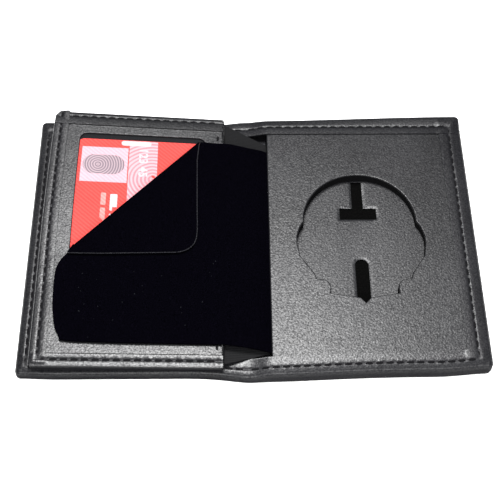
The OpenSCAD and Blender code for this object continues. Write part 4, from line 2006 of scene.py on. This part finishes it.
    def root(self) -> None:
        """Makes the root that crosses the gutter, with the bead that it turns on."""
        hinge = self.slope.hinge
        span = self.root_path[-1][0]
        bm = bmesh.new()
        across, rows = self.root_cells
        bmesh.ops.create_grid(bm, x_segments=across, y_segments=rows, size=1.0)
        for vert in bm.verts:
            at = (vert.co.x + 1) / 2 * span
            along = (vert.co.y + 1) / 2
            near = mix(self.near_y, self.near_y - 1.6, at / span)
            far = mix(self.far_y, self.far_y - 1.4, smooth(at / 12))
            vert.co = Vector((hinge.x + at, mix(near, far, along), self.root_level(at)))
        area = area_of(bm)
        strip = self.stretch("felt_root_strip", bm, "felt_root")
        bend_between(strip)
        bm = bmesh.new()
        made = bmesh.ops.create_cone(
            bm, cap_ends=True, segments=self.bead_sides, radius1=self.felt_t / 2,
            radius2=self.felt_t / 2, depth=self.far_y - self.near_y,
        )["verts"]
        bmesh.ops.rotate(bm, verts=made, matrix=Matrix.Rotation(math.pi / 2, 3, "X"))
        bmesh.ops.translate(bm, verts=made, vec=(hinge.x, (self.near_y + self.far_y) / 2, hinge.z))
        bead = make_piece("felt_bead", bm, self.finishes.felt)
        settle(bead, Slot.FELT, "felt_root", body=Body.BACK)

    def root_level(self, at: float) -> float:
        """The height of the root's middle.

        Args:
            at: the distance from the hinge.

        Returns:
            The height.
        """
        for (x0, z0), (x1, z1) in zip(self.root_path, self.root_path[1:]):
            if at <= x1:
                return mix(z0, z1, (at - x0) / (x1 - x0))
        return self.root_path[-1][1]

    def lint(self) -> bpy.types.Object:
        """Scatters a few bits of lint on the leaf.

        Returns:
            The new piece.
        """
        chance = random.Random(self.lint_seed)
        bm = bmesh.new()
        for _ in range(self.lint_count):
            x, y = chance.uniform(*self.lint_x), chance.uniform(*self.lint_y)
            size = chance.uniform(*self.lint_size)
            made = bmesh.ops.create_icosphere(bm, subdivisions=1, radius=size)["verts"]
            bmesh.ops.scale(bm, verts=made, vec=self.lint_form)
            bmesh.ops.rotate(bm, verts=made, matrix=Matrix.Rotation(chance.uniform(0, math.pi), 3, "Z"))
            bmesh.ops.translate(bm, verts=made, vec=(x, y, self.leaf_high.z + 0.12))
        self.slope.lay(bm)
        piece = make_piece("felt_lint", bm, self.finishes.lint)
        settle(piece, Slot.FELT, body=Body.FLAP)
        return piece


# Gutter


@dataclass
class HingeBand:
    """The ribbed band that hinges the wing in the gutter."""

    finishes: Finishes
    cut_round: float = 0.1
    row: float = 1.5

    def build(self) -> None:
        """Makes the band."""
        bm = copy_of_node("wing_hinge_band")
        soften_edges(bm, self.cut_round)
        low, high = box_mm("wing_hinge_band")
        cut_rows(bm, ACROSS, low.x, high.x, self.row)
        piece = make_piece("hinge_band", bm, self.finishes.band)
        settle(piece, Slot.BAND, "wing_hinge_band")
        bend_between(piece)


# Studio


@dataclass(frozen=True)
class Studio:
    """A pale floor, soft light and the camera."""

    focal_px: float = 1064.3
    image_px: float = 500
    sensor: float = 36
    pitch: float = 58.50
    yaw: float = -1.85
    roll: float = 1.32
    eye: tuple[float, float, float] = (-7.9, -218.3, 352.1)
    floor_size: float = 3000
    floor_drop: float = 0.05
    floor_tones: tuple[Colour, Colour] = ((0.79, 0.79, 0.79), (0.82, 0.82, 0.82))
    air: Colour = (0.9, 0.93, 1.0)
    air_strength: float = 0.105

    def build(self) -> None:
        """Makes the floor, the lights and the camera."""
        self.floor()
        self.lights()
        self.camera()

    def floor(self) -> None:
        """Makes the floor."""
        recipe = Recipe("studio floor")
        cloud = recipe.cloudy(160, 2)
        dark, light = self.floor_tones
        recipe.feed("Base Color", recipe.ramp(cloud, (0.3, dark), (0.8, light)))
        recipe.set(Roughness=0.7, Specular_IOR_Level=0.2)
        bm = bmesh.new()
        bmesh.ops.create_grid(bm, x_segments=2, y_segments=2, size=self.floor_size / 2)
        bmesh.ops.translate(bm, verts=bm.verts, vec=(0, 0, -self.floor_drop))
        make_piece("studio_floor", bm, recipe.material)

    def area(
        self, name: str, at: Sequence[float], aim: Sequence[float], size: Sequence[float], power: float
    ) -> bpy.types.Object:
        """Makes one soft box.

        Args:
            name: the light's name.
            at: its place, in millimetres.
            aim: the point that it faces.
            size: its width and height, in millimetres.
            power: in watts.

        Returns:
            The light.
        """
        light = bpy.data.lights.new(name, "AREA")
        light.shape = "RECTANGLE"
        light.size, light.size_y = (s * MM for s in size)
        light.energy = power
        made = bpy.data.objects.new(name, light)
        made.location = Vector(at) * MM
        heading = Vector(aim) - Vector(at)
        made.rotation_euler = heading.to_track_quat("-Z", "Y").to_euler()
        bpy.context.scene.collection.objects.link(made)
        return made

    def lights(self) -> None:
        """Makes the soft boxes and the pale surroundings."""
        world = bpy.data.worlds.new("studio")
        world.use_nodes = True
        background = world.node_tree.nodes["Background"]
        background.inputs["Color"].default_value = (*self.air, 1)
        background.inputs["Strength"].default_value = self.air_strength
        bpy.context.scene.world = world
        bpy.context.scene.view_settings.view_transform = "Standard"
        self.area("main", (-22, 130, 560), (-10, 30, 0), (230, 210), 10.3)
        self.area("front", (0, -430, 330), (0, -20, 0), (520, 150), 2.8)
        fill = self.area("fill", (0, -260, 420), (0, -40, 0), (600, 320), 4.2)
        fill.visible_glossy = False

    def camera(self) -> None:
        """Makes the camera at the view of the picture."""
        pitch, yaw, roll = (math.radians(a) for a in (self.pitch, self.yaw, self.roll))
        ahead = Vector((0, math.cos(pitch), -math.sin(pitch)))
        right = Vector((1, 0, 0))
        up = right.cross(ahead)
        turn = Matrix.Rotation(yaw, 3, "Z")
        ahead, right, up = turn @ ahead, turn @ right, turn @ up
        right, up = (
            right * math.cos(roll) + up * math.sin(roll),
            up * math.cos(roll) - right * math.sin(roll),
        )
        data = bpy.data.cameras.new("camera")
        data.sensor_width = self.sensor
        data.lens = self.focal_px / self.image_px * self.sensor
        data.clip_start = 0.01
        made = bpy.data.objects.new("camera", data)
        basis = Matrix((right, up, -ahead)).transposed().to_4x4()
        made.matrix_world = Matrix.Translation(Vector(self.eye) * MM) @ basis
        bpy.context.scene.collection.objects.link(made)
        bpy.context.scene.camera = made


def main() -> None:
    """Builds the wallet and the studio."""
    logging.basicConfig(level=logging.INFO, format="%(message)s")
    finishes = Finishes()
    slope = Slope()
    cover = Cover(finishes)
    cover.build()
    BackPanel(finishes, cover).build()
    BadgePanel(finishes, cover).build()
    Wing(finishes, slope).build()
    Card(finishes, slope).build()
    HingeBand(finishes).build()
    Divider(finishes, slope).build()
    Studio().build()


if __name__ == "__main__":
    main()
